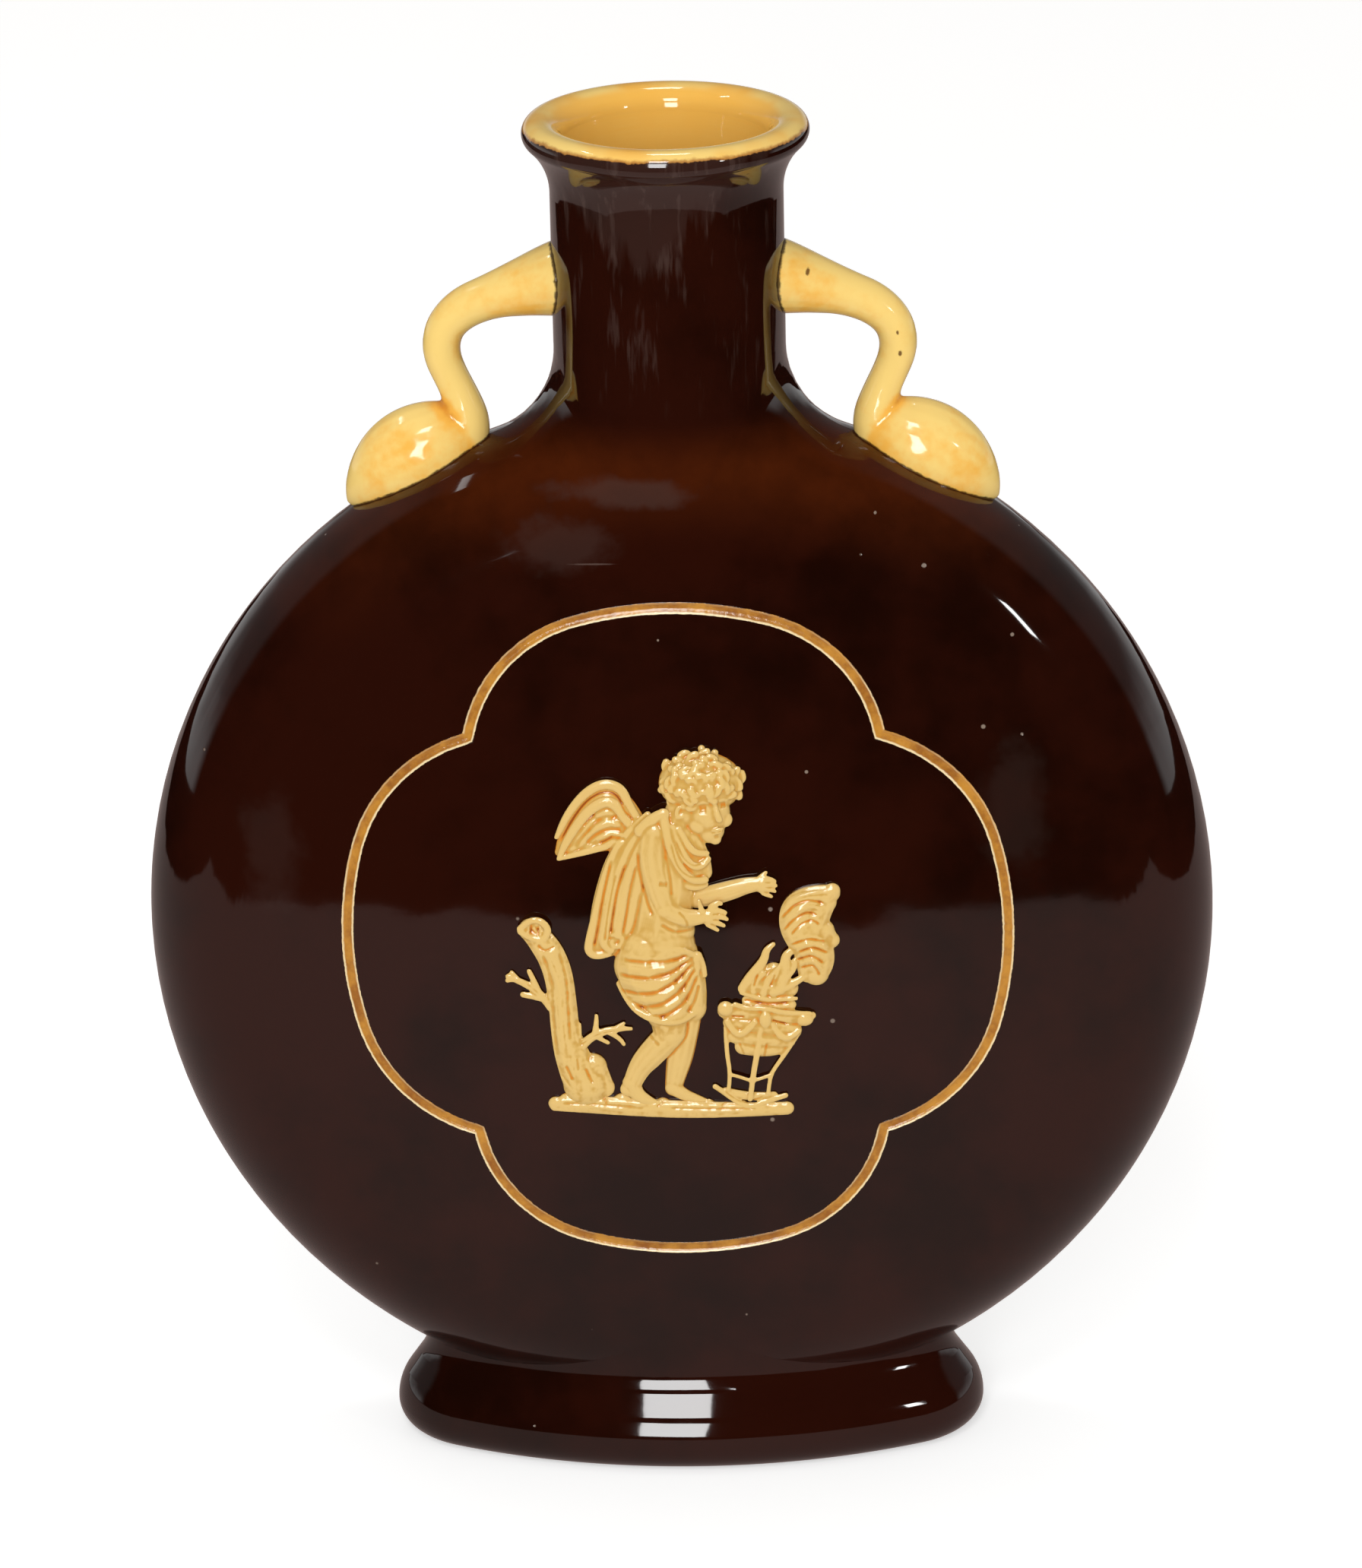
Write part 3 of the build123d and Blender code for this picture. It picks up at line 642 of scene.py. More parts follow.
bodyForms = {
    "rolls": [
        [(762, 320, 26, 52), (748, 390, 34, 62), (745, 440, 10, 88), (722, 560, 4, 112),
         (702, 700, -2, 118), (690, 820, -4, 128)],
        [(700, 850, 0, 128), (650, 925, 6, 126)],
        [(745, 880, -4, 88), (772, 950, -14, 78), (795, 1040, -10, 66), (800, 1130, -8, 57),
         (785, 1220, -6, 54), (768, 1300, -6, 54), (750, 1380, -6, 42), (742, 1425, -4, 35)],
        [(680, 930, 22, 116), (705, 1040, 28, 100), (728, 1130, 28, 80), (728, 1200, 28, 66)],
        [(724, 1212, 28, 62), (650, 1287, 26, 59), (600, 1348, 24, 45), (580, 1402, 24, 39)],
        [(576, 1400, 28, 37), (590, 1440, 30, 33), (632, 1468, 32, 25), (668, 1482, 30, 17)],
        [(742, 1422, 2, 34), (775, 1448, 6, 28), (830, 1466, 8, 20), (868, 1477, 6, 13)],
        [(668, 405, 54, 60), (652, 470, 64, 62), (668, 560, 70, 58), (690, 640, 76, 52), (712, 698, 78, 48)],
        [(712, 700, 80, 48), (762, 730, 84, 43), (822, 734, 86, 36), (860, 728, 88, 29)],
        [(835, 668, 14, 40), (900, 652, 24, 44), (972, 632, 32, 42), (1035, 612, 38, 35),
         (1072, 608, 42, 31)],
        [(892, 704, 98, 13), (925, 700, 96, 12), (948, 712, 90, 9)],
        [(896, 722, 102, 13), (932, 726, 98, 12), (954, 738, 90, 9)],
        [(892, 742, 98, 13), (922, 754, 94, 12), (942, 764, 86, 9)],
        [(880, 758, 92, 12), (904, 773, 86, 11), (918, 783, 80, 8)],
        [(862, 715, 100, 13), (848, 688, 104, 11), (844, 664, 98, 8)],
        [(895, 690, 92, 16), (918, 668, 92, 13), (930, 676, 90, 10)],
        [(1104, 584, 56, 12), (1128, 586, 56, 11), (1144, 596, 50, 8)],
        [(1108, 602, 60, 12), (1132, 606, 58, 11), (1148, 614, 50, 8)],
        [(1106, 622, 58, 12), (1131, 628, 56, 11), (1144, 636, 48, 8)],
        [(1100, 642, 54, 11), (1118, 651, 50, 10), (1130, 657, 44, 8)],
        [(1080, 590, 52, 13), (1094, 572, 52, 11), (1109, 562, 46, 8)],
    ],
    "lumps": [(618, 935, 10, 112), (735, 790, 10, 92), (560, 1426, 26, 30), (884, 728, 86, 33),
              (1096, 610, 44, 33, 1, 1.1), (690, 1476, 34, 10), (684, 1490, 28, 9), (668, 1497, 26, 8),
              (884, 1474, 16, 9), (880, 1486, 10, 8)],
}
scarf = {
    "rolls": [
        [(700, 322, 88, 20), (714, 400, 98, 20), (738, 480, 102, 19), (778, 552, 98, 18),
         (828, 592, 88, 17), (868, 586, 70, 15)],
        [(738, 380, 88, 15), (768, 460, 102, 16), (808, 522, 104, 16), (852, 536, 92, 15),
         (880, 504, 72, 13)],
        [(762, 385, 88, 13), (798, 446, 100, 14), (838, 482, 98, 14), (874, 480, 78, 12)],
        [(745, 565, 72, 16), (790, 606, 80, 16), (840, 618, 70, 16), (868, 606, 54, 14)],
        [(775, 420, 44, 52), (805, 510, 40, 66), (830, 575, 30, 48)],
        [(810, 430, 44, 44), (848, 500, 40, 46), (858, 560, 30, 38)],
    ],
}
hipCloth = {
    "rolls": [
        [(640, 872, 22, 106), (624, 930, 22, 124), (668, 1005, 32, 124), (706, 1070, 34, 106),
         (722, 1110, 30, 92)],
        [(742, 890, 4, 98), (776, 960, -2, 90), (800, 1040, 0, 78), (806, 1100, 0, 68)],
        [(560, 866, 66, 15), (640, 846, 100, 16), (726, 846, 112, 15), (794, 866, 92, 15),
         (836, 888, 58, 13)],
        [(526, 1006, 14, 12), (566, 1074, 74, 16), (636, 1124, 116, 16), (722, 1146, 112, 16),
         (796, 1138, 82, 15), (858, 1094, 24, 12)],
        [(838, 888, 62, 19), (860, 922, 46, 15), (866, 968, 34, 11)],
        [(832, 896, 66, 16), (838, 934, 60, 13), (834, 972, 52, 9)],
    ],
    "lumps": [(836, 888, 62, 22)],
    "strokes": [
        (-11, 17, [(812, 880), (730, 898), (640, 900), (552, 896)]),
        (-12, 17, [(820, 898), (740, 944), (646, 962), (536, 956)]),
        (-13, 18, [(826, 914), (762, 980), (664, 1024), (540, 1024)]),
        (-12, 18, [(836, 934), (786, 1014), (704, 1070), (600, 1088)]),
        (-12, 17, [(846, 960), (812, 1048), (758, 1098), (694, 1128)]),
        (-10, 15, [(854, 1000), (838, 1064), (810, 1112)]),
        (7, 14, [(816, 890), (735, 922), (644, 932), (544, 926)]),
        (7, 16, [(824, 906), (752, 962), (656, 994), (538, 990)]),
        (7, 16, [(832, 926), (776, 998), (686, 1048), (574, 1060)]),
        (7, 15, [(842, 948), (800, 1032), (734, 1086), (650, 1112)]),
    ],
}
head = {
    "rolls": [
        [(906, 288, 94, 10), (914, 318, 104, 11), (924, 344, 108, 14)],
        [(900, 389, 92, 5), (921, 385, 98, 8), (938, 381, 90, 5)],
        [(905, 400, 88, 6), (921, 399, 94, 8), (934, 394, 86, 5)],
        [(762, 300, 86, 8), (750, 320, 86, 8), (764, 344, 86, 8), (776, 332, 84, 7)],
    ],
    "lumps": [(850, 216, -22, 150, 1.12, 0.86), (876, 330, 18, 90, 1.0, 1.08), (888, 394, 34, 56),
              (908, 428, 50, 24), (846, 366, 50, 48), (944, 354, 40, 32), (792, 330, 28, 60)],
    "middle": (850, 214), "spread": (152, 116), "locks": 72, "thickness": (15, 8), "length": 23,
    "hairline": [(600, 340), (775, 340), (830, 270), (955, 264), (1000, 322), (1100, 330)],
    "strokes": [
        (-9, 24, [(848, 305), (878, 301)]), (-8, 18, [(932, 291), (953, 288)]),
        (-3, 6, [(848, 313), (862, 316), (878, 312)]), (-3, 5, [(932, 299), (942, 301), (953, 297)]),
        (4, 12, [(836, 282), (862, 275), (888, 280)]), (4, 9, [(926, 273), (944, 269), (960, 275)]),
        (-5, 4, [(900, 395), (921, 393), (938, 388)]), (-4, 12, [(908, 413), (926, 411)]),
    ],
}


def hairLocks():  # soft comma-shaped locks laid on a sunflower spiral over the skull
    locks = []
    for index in range(head["locks"]):
        reach = ((index + 0.5) / head["locks"]) ** 0.5
        turned = index * pi * (3 - 5 ** 0.5)
        across = head["middle"][0] + head["spread"][0] * reach * cos(turned)
        down = head["middle"][1] + head["spread"][1] * reach * sin(turned)
        if down > np.interp(across, *zip(*head["hairline"])):
            continue
        out = max(10, -28 + 150 * (1 - reach * reach) ** 0.5)
        thick, thin = head["thickness"]
        sense, start = (1, -1)[index % 2], turned + 0.9 * sin(2.1 * index)
        lock = []
        for step in range(5):
            angle = start + sense * (0.2 + step * 0.55)
            lock.append((across + head["length"] * cos(angle), down + head["length"] * sin(angle),
                         out + 2 * sin(step * 0.8), thick + (thin - thick) * step / 4))
        locks.append(lock)
    return locks


figure = {
    "rolls": wing["rolls"] + cape["rolls"] + bodyForms["rolls"] + scarf["rolls"] + hipCloth["rolls"]
    + head["rolls"] + hairLocks(),
    "lumps": wing["lumps"] + bodyForms["lumps"] + hipCloth["lumps"] + head["lumps"],
    "uneven": 0.8,
    "strokes": head["strokes"] + hipCloth["strokes"] + [
        (-10, 12, [(520, 560), (498, 660), (482, 760), (474, 830)]),
        (-12, 13, [(556, 520), (524, 620), (508, 720), (498, 800)]),
        (-9, 11, [(600, 520), (575, 620), (560, 720), (545, 800)]),
        (-9, 12, [(500, 500), (470, 640), (445, 790), (432, 850)]),
        (-10, 8, [(588, 356), (552, 320), (524, 268), (484, 248), (436, 260), (388, 296), (342, 358),
                  (296, 440)]),
        (-9, 17, [(520, 350), (478, 340), (436, 364), (396, 410), (352, 462)]),
        (-9, 16, [(540, 392), (488, 388), (440, 410), (396, 448)]),
        (-8, 15, [(556, 424), (500, 426), (450, 446)]),
        (6, 11, [(528, 372), (480, 364), (436, 388), (390, 434)]),
        (6, 11, [(546, 410), (496, 408), (446, 430)]),
        (-9, 14, [(604, 470), (616, 560), (642, 660), (668, 720)]),
        (-5, 11, [(716, 480), (735, 570), (742, 640)]), (-6, 12, [(700, 752), (760, 782), (840, 778)]),
        (-6, 18, [(690, 590), (725, 596)]), (-5, 10, [(770, 700), (800, 735), (806, 762)]),
        (-4, 5, [(905, 714), (935, 714)]), (-4, 5, [(905, 734), (938, 740)]),
        (-4, 5, [(900, 752), (925, 764)]), (-4, 5, [(1112, 594), (1138, 598)]),
        (-4, 5, [(1114, 613), (1140, 618)]), (-4, 5, [(1110, 633), (1134, 640)]),
        (-7, 10, [(812, 1150), (806, 1210), (760, 1270), (705, 1330)]),
        (-7, 10, [(756, 424), (790, 490), (830, 520), (872, 510)]),
        (-7, 10, [(735, 430), (765, 520), (815, 565), (868, 566)]), (-5, 12, [(640, 1190), (700, 1246)]),
        (4, 18, [(700, 1164), (735, 1178)]), (-3, 3, [(676, 1470), (692, 1474)]),
        (-3, 3, [(670, 1486), (686, 1490)]),
    ],
}
ground = {
    "rolls": [
        [(275, 1488, 14, 30), (450, 1490, 16, 40), (650, 1502, 16, 38), (850, 1508, 16, 36),
         (1050, 1511, 14, 32), (1192, 1506, 12, 29)],
        [(270, 1500, 22, 18), (500, 1512, 28, 20), (760, 1526, 28, 18), (1000, 1524, 26, 18),
         (1190, 1514, 20, 16)],
    ],
    "lumps": [(320, 1478, 4, 34), (430, 1470, 2, 42), (540, 1482, 4, 40), (700, 1494, 4, 34),
              (880, 1496, 4, 30), (1010, 1502, 4, 32), (1120, 1500, 4, 32)],
    "strokes": [(-7, 12, [(300, 1492), (470, 1494), (640, 1508)]), (-6, 10, [(740, 1506), (900, 1510),
                                                                             (1100, 1512)]),
                (-8, 9, [(350, 1455), (372, 1478)]), (-8, 9, [(470, 1462), (488, 1490)]),
                (-6, 8, [(690, 1500), (720, 1482)]), (-5, 8, [(950, 1500), (978, 1480)]),
                (5, 10, [(420, 1500), (560, 1518)]), (5, 9, [(860, 1520), (1080, 1516)])],
    "uneven": 4,
}
stump = {
    "rolls": [
        [(178, 796, 16, 50), (232, 850, 12, 60), (282, 950, 10, 60), (302, 1080, 8, 58), (312, 1200, 8, 60),
         (346, 1320, 8, 76), (395, 1410, 4, 92)],
        [(420, 1340, 10, 60), (465, 1420, 10, 45)],
        [(134, 786, 58, 14), (165, 752, 62, 14), (215, 748, 64, 14), (250, 786, 62, 15), (228, 830, 58, 15),
         (172, 822, 58, 14), (136, 796, 58, 14)],
        [(255, 1100, 26, 18), (212, 1042, 26, 17), (152, 1006, 24, 16), (86, 981, 20, 12)],
        [(208, 1038, 30, 12), (186, 992, 28, 13), (169, 958, 22, 10)],
        [(236, 1072, 28, 12), (185, 1056, 26, 15), (146, 1052, 22, 13)],
        [(132, 1000, 26, 11), (100, 966, 20, 10)], [(120, 992, 24, 9), (82, 998, 18, 9)],
        [(345, 1304, 40, 20), (386, 1238, 40, 19), (440, 1202, 36, 18), (510, 1182, 30, 14),
         (573, 1184, 22, 9)],
        [(430, 1206, 40, 13), (438, 1162, 34, 12), (436, 1132, 26, 8)],
        [(480, 1194, 34, 12), (528, 1216, 28, 11), (545, 1246, 22, 9)],
        [(436, 1214, 38, 11), (482, 1240, 28, 9)], [(505, 1184, 34, 10), (545, 1162, 24, 8)],
        [(362, 1262, 44, 12), (372, 1196, 34, 10), (370, 1166, 26, 7)],
    ],
    "strokes": [
        (-22, 30, [(172, 786), (214, 790)]), (10, 10, [(186, 778), (206, 800)]),
        (-8, 15, [(225, 880), (262, 1000), (272, 1140), (286, 1280)]),
        (-7, 13, [(288, 860), (320, 980), (330, 1110), (338, 1230)]),
        (5, 12, [(250, 900), (290, 1020), (300, 1150), (312, 1280)]), (-9, 12, [(322, 1330), (350, 1390)]),
        (-8, 12, [(400, 1340), (430, 1400)]), (-6, 9, [(366, 1300), (372, 1350)]),
        (7, 12, [(300, 1380), (330, 1420)]), (-8, 10, [(206, 846), (236, 866), (276, 850)]),
        (-5, 5, [(160, 1004), (230, 1060)]), (-5, 5, [(380, 1250), (450, 1206), (540, 1190)]),
    ],
    "uneven": 5,
}
brazier = {
    "rolls": [
        [(950, 1112, 22, 34), (1108, 1126, 34, 34), (1262, 1144, 22, 30)],
        [(968, 1160, 24, 30), (1105, 1180, 38, 40), (1222, 1190, 24, 30)],
        [(985, 1210, 22, 34), (1100, 1225, 36, 42), (1195, 1232, 22, 32)],
        [(1018, 1256, 18, 34), (1095, 1268, 28, 38), (1160, 1262, 18, 30)],
        [(987, 1083, 50, 11), (1040, 1100, 56, 10), (1105, 1096, 60, 11), (1190, 1120, 56, 11),
         (1282, 1122, 44, 10)],
        [(955, 1150, 52, 12), (985, 1200, 56, 15), (1026, 1198, 60, 15), (1064, 1152, 58, 12)],
        [(1138, 1166, 58, 12), (1163, 1210, 58, 15), (1204, 1221, 54, 15), (1238, 1190, 48, 12)],
        [(1012, 1038, 44, 9), (1068, 1056, 50, 9), (1140, 1068, 50, 9), (1228, 1062, 42, 9)],
        [(1035, 1072, 20, 22), (1120, 1088, 30, 24), (1208, 1090, 20, 22)],
        [(950, 1180, 34, 10), (952, 1271, 34, 10), (968, 1360, 32, 9), (962, 1420, 30, 9)],
        [(1089, 1176, 56, 13), (1076, 1271, 52, 13), (1058, 1366, 44, 12), (1047, 1465, 40, 11)],
        [(1240, 1200, 34, 10), (1188, 1280, 34, 10), (1146, 1338, 32, 9), (1124, 1376, 32, 9),
         (1118, 1444, 30, 9)],
        [(966, 1364, 38, 8), (1006, 1374, 42, 8), (1052, 1391, 46, 8), (1092, 1380, 42, 8),
         (1134, 1366, 36, 8)],
        [(908, 1416, 22, 12), (974, 1462, 28, 13), (1040, 1504, 30, 14), (1118, 1472, 28, 13),
         (1186, 1453, 22, 12)],
        [(950, 1436, 14, 18), (1045, 1466, 16, 22), (1140, 1452, 14, 16)],
        [(1019, 1022, 34, 22), (1040, 986, 38, 23), (1074, 946, 38, 22), (1104, 905, 36, 18),
         (1110, 866, 34, 15), (1138, 848, 30, 10)],
        [(1165, 1020, 40, 30), (1192, 958, 42, 27), (1182, 896, 42, 19), (1214, 868, 38, 15),
         (1252, 872, 32, 10)],
        [(1140, 1034, 46, 22), (1203, 1012, 46, 21), (1256, 978, 38, 14)],
        [(1196, 968, 48, 15), (1226, 940, 46, 15), (1222, 912, 42, 11)],
        [(1060, 1030, 44, 16), (1062, 990, 46, 16), (1096, 962, 46, 14)],
        [(1100, 1036, 46, 18), (1112, 990, 50, 18), (1150, 962, 50, 16), (1168, 930, 44, 11)],
        [(1046, 1016, 14, 40), (1120, 1010, 16, 56), (1196, 1024, 12, 42)],
        [(1080, 980, 8, 40), (1140, 960, 8, 40)],
        [(1366, 650, 16, 38), (1300, 664, 14, 54), (1236, 702, 12, 70), (1228, 766, 12, 74),
         (1262, 822, 12, 80), (1306, 872, 12, 80), (1316, 938, 12, 68), (1308, 966, 14, 52)],
        [(1372, 640, 24, 32), (1340, 668, 26, 38)], [(1330, 800, 16, 52), (1368, 836, 14, 34)],
        [(1340, 684, 10, 50), (1300, 740, 10, 62), (1282, 800, 12, 70)],
        [(1270, 900, 16, 50), (1276, 966, 16, 40)],
    ],
    "lumps": [(949, 1100, 46, 32), (1107, 1142, 62, 24, 1, 1.5), (1262, 1146, 38, 32, 1.1, 0.9),
              (1292, 1132, 30, 16)],
    "strokes": [
        (-11, 11, [(1184, 738), (1228, 690), (1290, 668), (1352, 680)]),
        (-10, 10, [(1192, 786), (1228, 744), (1279, 716), (1326, 726)]),
        (-9, 9, [(1222, 800), (1260, 760), (1304, 746), (1334, 764)]),
        (-9, 9, [(1222, 842), (1290, 818), (1360, 832)]), (-10, 9, [(1250, 872), (1308, 852), (1370, 876)]),
        (-10, 9, [(1244, 906), (1304, 886), (1352, 916)]), (-9, 9, [(1262, 938), (1310, 926), (1338, 966)]),
        (7, 10, [(1186, 712), (1220, 664), (1290, 640), (1380, 636)]),
        (7, 9, [(1190, 762), (1230, 716), (1290, 692), (1340, 702)]),
        (7, 8, [(1230, 858), (1296, 836), (1368, 852)]), (7, 8, [(1248, 890), (1306, 868), (1360, 896)]),
        (7, 8, [(1256, 924), (1306, 906), (1346, 944)]),
        (-12, 12, [(1030, 1066), (1130, 1082), (1216, 1078)]), (-10, 8, [(985, 1130), (1040, 1132)]),
        (-10, 8, [(1150, 1146), (1210, 1164)]), (-6, 8, [(1020, 1240), (1040, 1290)]),
        (-6, 8, [(1130, 1240), (1120, 1300)]), (-8, 8, [(920, 1432), (1036, 1520)]),
        (-6, 7, [(960, 1440), (1040, 1486), (1120, 1460)]), (-8, 8, [(1074, 1010), (1090, 960)]),
        (-8, 8, [(1140, 1010), (1160, 960)]),
    ],
    "uneven": 3,
}


reliefFinish = {"pale": linear(232, 194, 118), "body": linear(212, 166, 82), "roughness": 0.13,
                "wave": 5 * mm, "waveDepth": 0.12 * mm, "patchy": 0.2,
                "toBody": (0.0, 0.3), "toPooled": (0.28, 0.66), "toDeep": (0.66, 1.0)}


def reliefGlaze():
    tree = Tree(bpy.data.materials.new("reliefGlaze"))
    flow = tree.noise(tree.node("TexCoord", output=3), reliefFinish["wave"], 2.0, 0.5)
    # paler on ridges, orange and deep brown in hollows and at the foot: pooled glaze, and painted shade
    poolAndShade = tree.attribute("poolAndShade") + (flow - 0.5) * reliefFinish["patchy"]
    colour = tree.tint(tree.smooth(poolAndShade, *reliefFinish["toBody"]), reliefFinish["pale"], reliefFinish["body"])
    colour = tree.tint(tree.smooth(poolAndShade, *reliefFinish["toPooled"]), colour, cream["pooled"])
    colour = tree.tint(tree.smooth(poolAndShade, *reliefFinish["toDeep"]), colour, cream["deep"])
    normal = tree.bump(reliefFinish["waveDepth"], flow)
    return glazeShader(tree, colour, reliefFinish["roughness"] + flow * 0.06, normal)


reliefMaterial = reliefGlaze()
for name, sprig in (("sprig_ground", ground), ("sprig_stump", stump), ("sprig_figure", figure),
                    ("sprig_brazier", brazier)):
    pressSprig(name, sprig, reliefMaterial)
print("relief pressed")

# handles: an arm run out into an egg-shaped pad, in mm
handle = {
    "arm": [(18.4, 220.8, 7.0), (20.5, 220.4, 6.6), (26.2, 219.0, 5.1), (31.4, 217.5, 4.0),
            (36.1, 215.6, 3.8), (39.3, 212.6, 3.5), (40.4, 209.2, 3.4), (40.1, 206.2, 3.3),
            (39.0, 203.4, 3.15), (37.7, 200.6, 3.2), (36.8, 197.8, 3.6), (36.2, 195.2, 4.0),
            (36.2, 192.5, 4.2), (36.7, 189.5, 3.9)],  # x, z, radius
    "padCentre": (45.4, 187.6), "padSlope": 32.8, "padLength": 14.9, "padHeight": 9.4, "padWidth": 7.0,
    "padStations": (-1, -0.95, -0.85, -0.65, -0.35, 0, 0.35, 0.65, 0.85, 0.95, 1),
    "padFull": 1.04, "padPoint": 0.75, "padTip": 0.3,
    "voxel": 0.36 * mm, "softening": 14, "rootCut": 18.6 * mm, "padCut": 94.2 * mm,
    "poolRounds": 60, "poolBase": 0.3, "poolShare": 0.9,
}
handleFinish = {
    "roughness": 0.10, "wave": 9 * mm, "waveDepth": 0.2 * mm, "fine": 1.6 * mm, "patchy": 0.9,
    "toBody": (0.0, 0.36), "toPooled": (0.34, 0.75), "rimCentre": 76.2 * mm, "rimRadius": 20 * mm,
    "neck": 20.5 * mm, "creep": (0.1 * mm, 0.5 * mm), "ragged": 0.8 * mm, "chipRagged": 0.7 * mm,
    "chips": [(24.6, 222.8, 0.5), (40.2, 211.0, 0.35), (40.6, 207.2, 0.45)],  # on the right one: x, z, size
}


def handleGlaze():  # cream, with brown creeping on to it along the body's edge and the neck
    tree = Tree(bpy.data.materials.new("handleGlaze"))
    place, (x, y, z) = tree.objectPlace()
    flow = tree.noise(place, handleFinish["wave"], 3.0, 0.55)
    fine = tree.noise(place, handleFinish["fine"], 3.0, 0.6)
    # paler on bulges, orange in hollows: pooled glaze, with painted shade
    poolAndShade = tree.attribute("poolAndShade") + (flow - 0.5) * handleFinish["patchy"] + (fine - 0.5) * 0.25
    colour = tree.tint(tree.smooth(poolAndShade, *handleFinish["toBody"]), cream["pale"], cream["body"])
    colour = tree.tint(tree.smooth(poolAndShade, *handleFinish["toPooled"]) * 0.85, colour, cream["pooled"])
    rim = handleFinish["rimCentre"] + (handleFinish["rimRadius"] ** 2 - y * y) ** 0.5
    for gap in (far(x, z - face["centre"]) - rim, far(x, y) - handleFinish["neck"]):
        creep = tree.fade(gap + (fine - 0.5) * handleFinish["ragged"], *handleFinish["creep"])
        colour = tree.tint(creep * 0.9, colour, brown["body"])
    for chipX, chipZ, size in handleFinish["chips"]:
        away = far(x - chipX * mm, (z - chipZ * mm) * 0.6) + (fine - 0.5) * handleFinish["chipRagged"]
        colour = tree.tint(tree.fade(away, size * 0.5 * mm, size * mm) * 0.85, colour, brown["warm"])
    normal = tree.bump(handleFinish["waveDepth"], flow)
    return glazeShader(tree, colour, handleFinish["roughness"] + fine * 0.06, normal)


def makeHandle(sense, nodeName, material):
    bpy.ops.object.select_all(action="DESELECT")
    arm = tube([(sense * x * mm, 0, z * mm, radius) for x, z, radius in handle["arm"]], 8, 8)
    centreX, centreZ = handle["padCentre"]
    slope, length = radians(handle["padSlope"]), handle["padLength"]
    height = handle["padHeight"] * handle["padFull"]
    pad = tube([(sense * (centreX + u * length * cos(slope)) * mm, 0, (centreZ - u * length * sin(slope)) * mm,
                 max(height * (1 - u * u) ** handle["padPoint"], handle["padTip"]))
                for u in handle["padStations"]], 8, 8)
    for corner in pad.data.vertices:
        corner.co.y *= handle["padWidth"] / handle["padHeight"]
    made = meltTogether([pad, arm], handle["voxel"], handle["softening"])
    above = centreZ - face["centre"] / mm
    reach = hypot(centreX, above)
    toPad = Vector((sense * centreX / reach, 0, above / reach))
    cutFlat([(Vector((0, 0, face["centre"])) + toPad * handle["padCut"], toPad),
             (Vector((sense * handle["rootCut"], 0, 0)), Vector((sense, 0, 0)))], clear_inner=True)
    mesh = made.data
    spots, normals, edges = vertexRows(mesh), vertexRows(mesh, "normal"), edgeRows(mesh)
    # concave places are coloured as pooled glaze, with painted shade in the hollows
    pull = sum((spread(spots[:, axis], edges, handle["poolRounds"]) - spots[:, axis]) * normals[:, axis]
               for axis in range(3))
    paint(mesh, "poolAndShade", np.clip(handle["poolBase"] + pull / mm * handle["poolShare"], 0, 1))
    bpy.ops.object.shade_smooth()
    finishPiece(made, nodeName, "Handle", material)


handleMaterial = handleGlaze()
makeHandle(-1, "handle_left", handleMaterial)
makeHandle(1, "handle_right", handleMaterial)

# the four-lobed line: a shallow channel of pale clay, in mm from the middle of its frame
lobes = {
    "centre": 105.1, "reach": (61.3, 59.0), "cusp": (36.4, 37.6), "crown": 65.0, "crownHalf": 15.0,
    "step": 0.8, "smoothUnder": 60, "weld": 0.01 * mm,
    "profile": [(-0.98, -0.75), (-1.13, -0.02), (-1.08, 0.03), (-0.93, 0.02), (-0.76, -0.12), (-0.45, -0.27),
                (0, -0.33), (0.45, -0.27), (0.76, -0.12), (0.93, 0.02), (1.08, 0.03), (1.13, -0.02),
                (0.98, -0.75)],  # across and up
}
lineFinish = {
    "clay": linear(204, 142, 52), "deep": linear(150, 88, 26), "rim": linear(250, 226, 176),
    "grain": 1.1 * mm, "slow": 7 * mm, "waveDepth": 0.15 * mm, "roughness": 0.16, "ragged": 0.35,
    "toDeep": (0.5, 0.95), "rimFrom": (0.62, 0.85), "lowerEdgeLight": (-1.1, 0.3), "lapped": (0.98, 1.10),
}


def arcPoints(centre, radius, first, last):
    count = max(2, int(abs(last - first) * radius / lobes["step"]))
    return [(centre[0] + radius * sin(first + (last - first) * i / count),
             centre[1] + radius * cos(first + (last - first) * i / count)) for i in range(count)]


def lobeLine(reach, cuspOut, cuspAcross):  # one lobe, upwards, from its left cusp to its right one
    half = radians(lobes["crownHalf"])
    crownCentre = (0, reach - lobes["crown"])
    endX, endZ = lobes["crown"] * sin(half), crownCentre[1] + lobes["crown"] * cos(half)
    runX, runZ = cuspAcross - endX, cuspOut - endZ
    radius = (runX ** 2 + runZ ** 2) / (2 * (-runX * sin(half) - runZ * cos(half)))
    shoulder = (endX - radius * sin(half), endZ - radius * cos(half))
    cuspTurn = np.arctan2(cuspAcross - shoulder[0], cuspOut - shoulder[1])
    right = arcPoints(shoulder, radius, half, cuspTurn)
    left = arcPoints((-shoulder[0], shoulder[1]), radius, -cuspTurn, -half)
    return left + arcPoints(crownCentre, lobes["crown"], -half, half) + right


def closedLine(points):  # a closed curve through points given in mm
    bpy.ops.curve.primitive_bezier_curve_add(location=(0, 0, 0))
    made = bpy.context.object
    made.data.splines.clear()
    line = made.data.splines.new("POLY")
    line.points.add(len(points) - 1)
    for knot, (across, up) in zip(line.points, points):
        knot.co = (across * mm, up * mm, 0, 1)
    line.use_cyclic_u = True
    return made


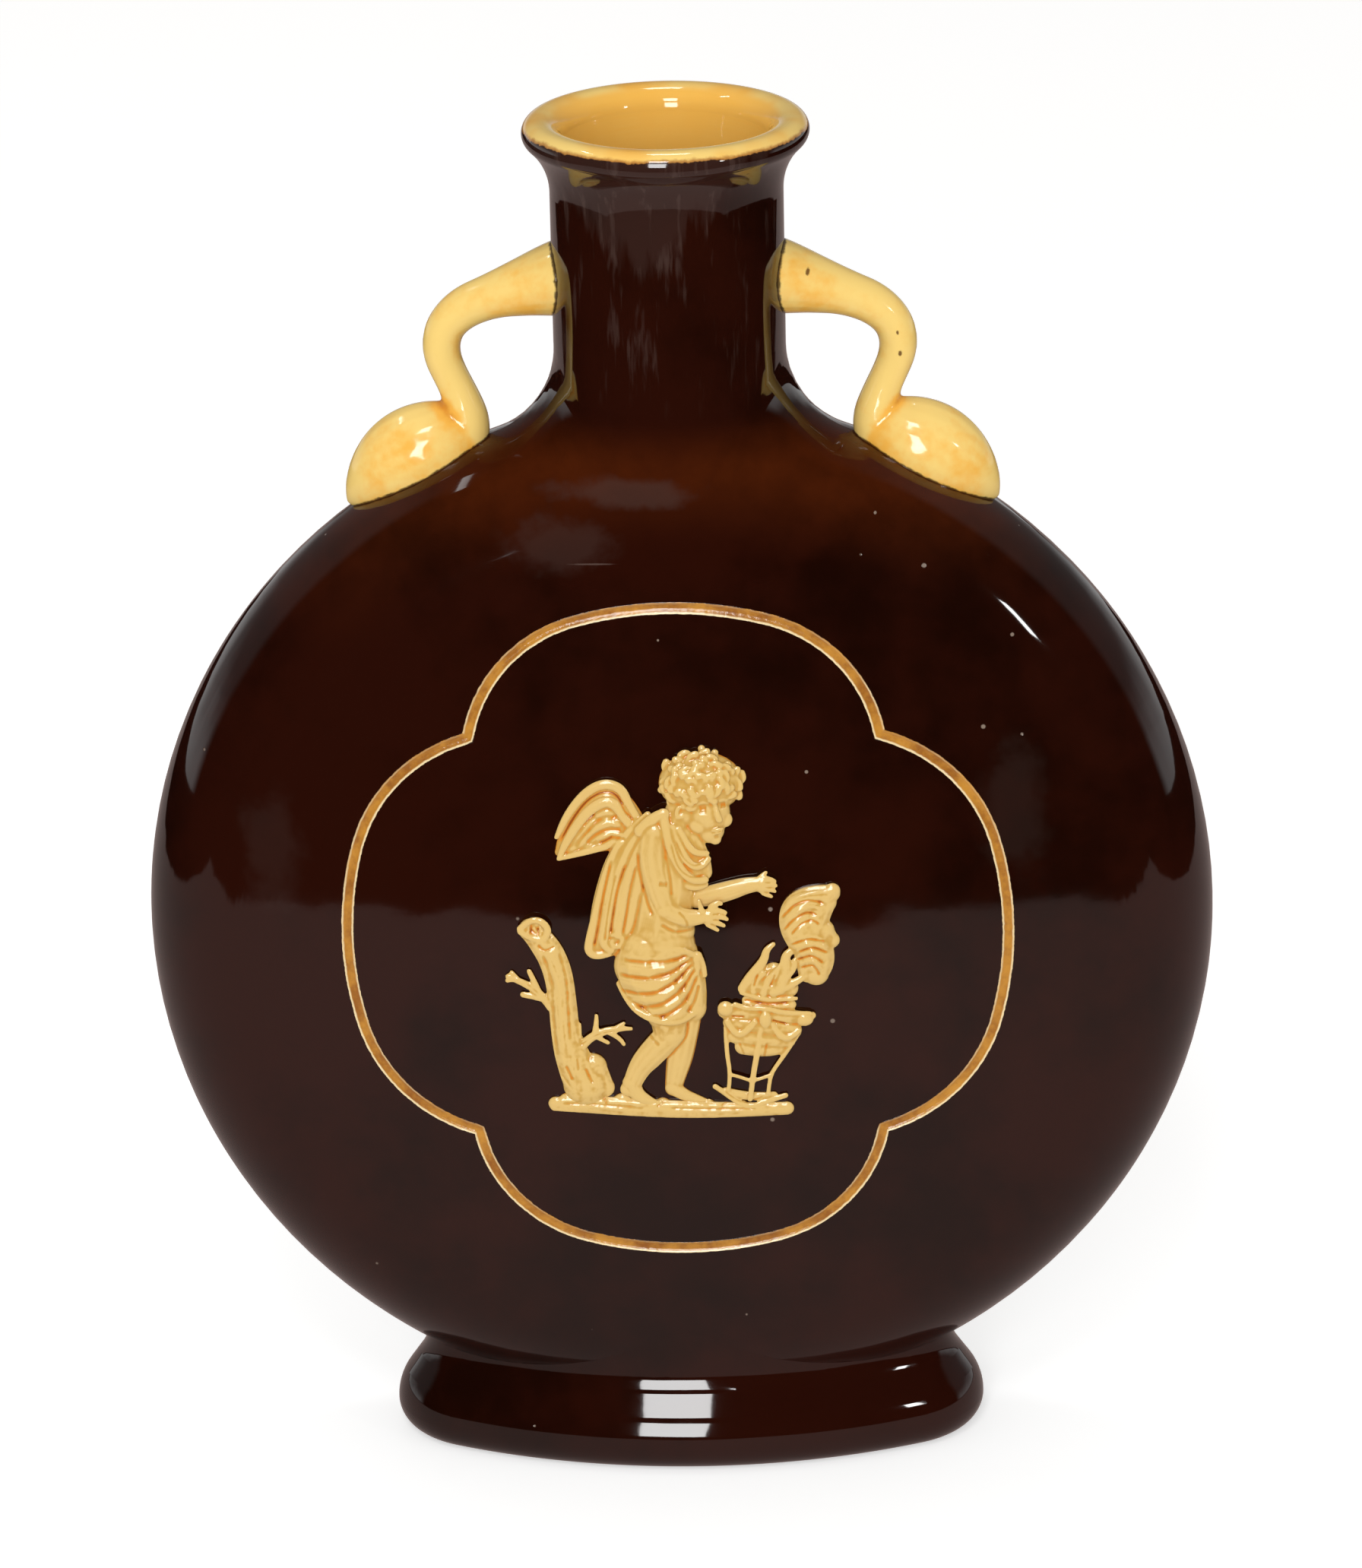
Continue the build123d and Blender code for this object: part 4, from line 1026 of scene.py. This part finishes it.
def makeLine(sense, nodeName, material):
    (reachUp, reachAside), (cuspAcross, cuspUp) = lobes["reach"], lobes["cusp"]
    upper, aside = lobeLine(reachUp, cuspUp, cuspAcross), lobeLine(reachAside, cuspAcross, cuspUp)
    path = upper + [(z, -x) for x, z in aside] + [(-x, -z) for x, z in upper] + [(-z, x) for x, z in aside]
    bpy.ops.object.select_all(action="DESELECT")
    profile, made = closedLine(lobes["profile"]), closedLine(path)
    made.data.dimensions, made.data.fill_mode = "2D", "NONE"
    made.data.bevel_mode, made.data.bevel_object = "OBJECT", profile
    bpy.ops.object.convert(target="MESH")
    made = bpy.context.object
    bpy.data.objects.remove(profile)
    mesh = made.data
    spots = vertexRows(mesh)
    route = np.array(path) * mm
    ahead = np.roll(route, -1, axis=0) - np.roll(route, 1, axis=0)
    ahead /= np.linalg.norm(ahead, axis=1)[:, None]
    nearest = np.array([np.argmin(np.hypot(route[:, 0] - x, route[:, 1] - z)) for x, z in spots[:, :2]])
    offset = spots[:, :2] - route[nearest]
    paint(mesh, "lane", (ahead[nearest, 0] * offset[:, 1] - ahead[nearest, 1] * offset[:, 0]) / mm)
    # how far below the path's middle a point lies, which sets the painted light on the lower edge
    paint(mesh, "low", np.clip(-offset[:, 1] / mm, -1, 1))
    up = spots[:, 2].copy()
    spots[:, 2] = spots[:, 1] + lobes["centre"] * mm
    spots[:, 1] = sense * (domeDepth(spots[:, 0], spots[:, 2]) + up)
    mesh.vertices.foreach_set("co", spots.ravel())
    mesh.update()
    bpy.ops.object.mode_set(mode="EDIT")
    bpy.ops.mesh.select_all(action="SELECT")
    bpy.ops.mesh.remove_doubles(threshold=lobes["weld"])
    bpy.ops.mesh.normals_make_consistent(inside=False)
    bpy.ops.mesh.select_all(action="DESELECT")
    bpy.ops.object.mode_set(mode="OBJECT")
    bpy.ops.object.shade_smooth_by_angle(angle=radians(lobes["smoothUnder"]))
    finishPiece(made, nodeName, "Line", material)


def lineGlaze():
    tree = Tree(bpy.data.materials.new("lineGlaze"))
    place = tree.node("TexCoord", output=3)
    ragged = tree.noise(place, lineFinish["grain"], 3.0, 0.65)
    slow = tree.noise(place, lineFinish["slow"], 3.0, 0.6)
    side = abs(tree.attribute("lane")) + (ragged - 0.5) * lineFinish["ragged"]
    # painted light: both edges are pale clay, and the lower one, which faces up to the light, is painted paler
    # still
    lit = tree.smooth(tree.attribute("low") + (slow - 0.5) * 1.6, *lineFinish["lowerEdgeLight"])
    colour = tree.tint(tree.smooth(slow + ragged * 0.4, *lineFinish["toDeep"]),
                       lineFinish["clay"], lineFinish["deep"])
    colour = tree.tint(tree.smooth(side, *lineFinish["rimFrom"]) * lit, colour, lineFinish["rim"])
    lapped = tree.smooth(side, *lineFinish["lapped"])  # brown glaze laps over the ragged edge
    colour = tree.tint(lapped, colour, brown["body"])
    normal = tree.bump(lineFinish["waveDepth"], ragged, 0.6)
    return glazeShader(tree, colour, lineFinish["roughness"] + ragged * 0.1, normal)


lineMaterial = lineGlaze()
makeLine(-1, "line_front", lineMaterial)
makeLine(1, "line_back", lineMaterial)

for obj in nodes.values():
    obj.select_set(False)
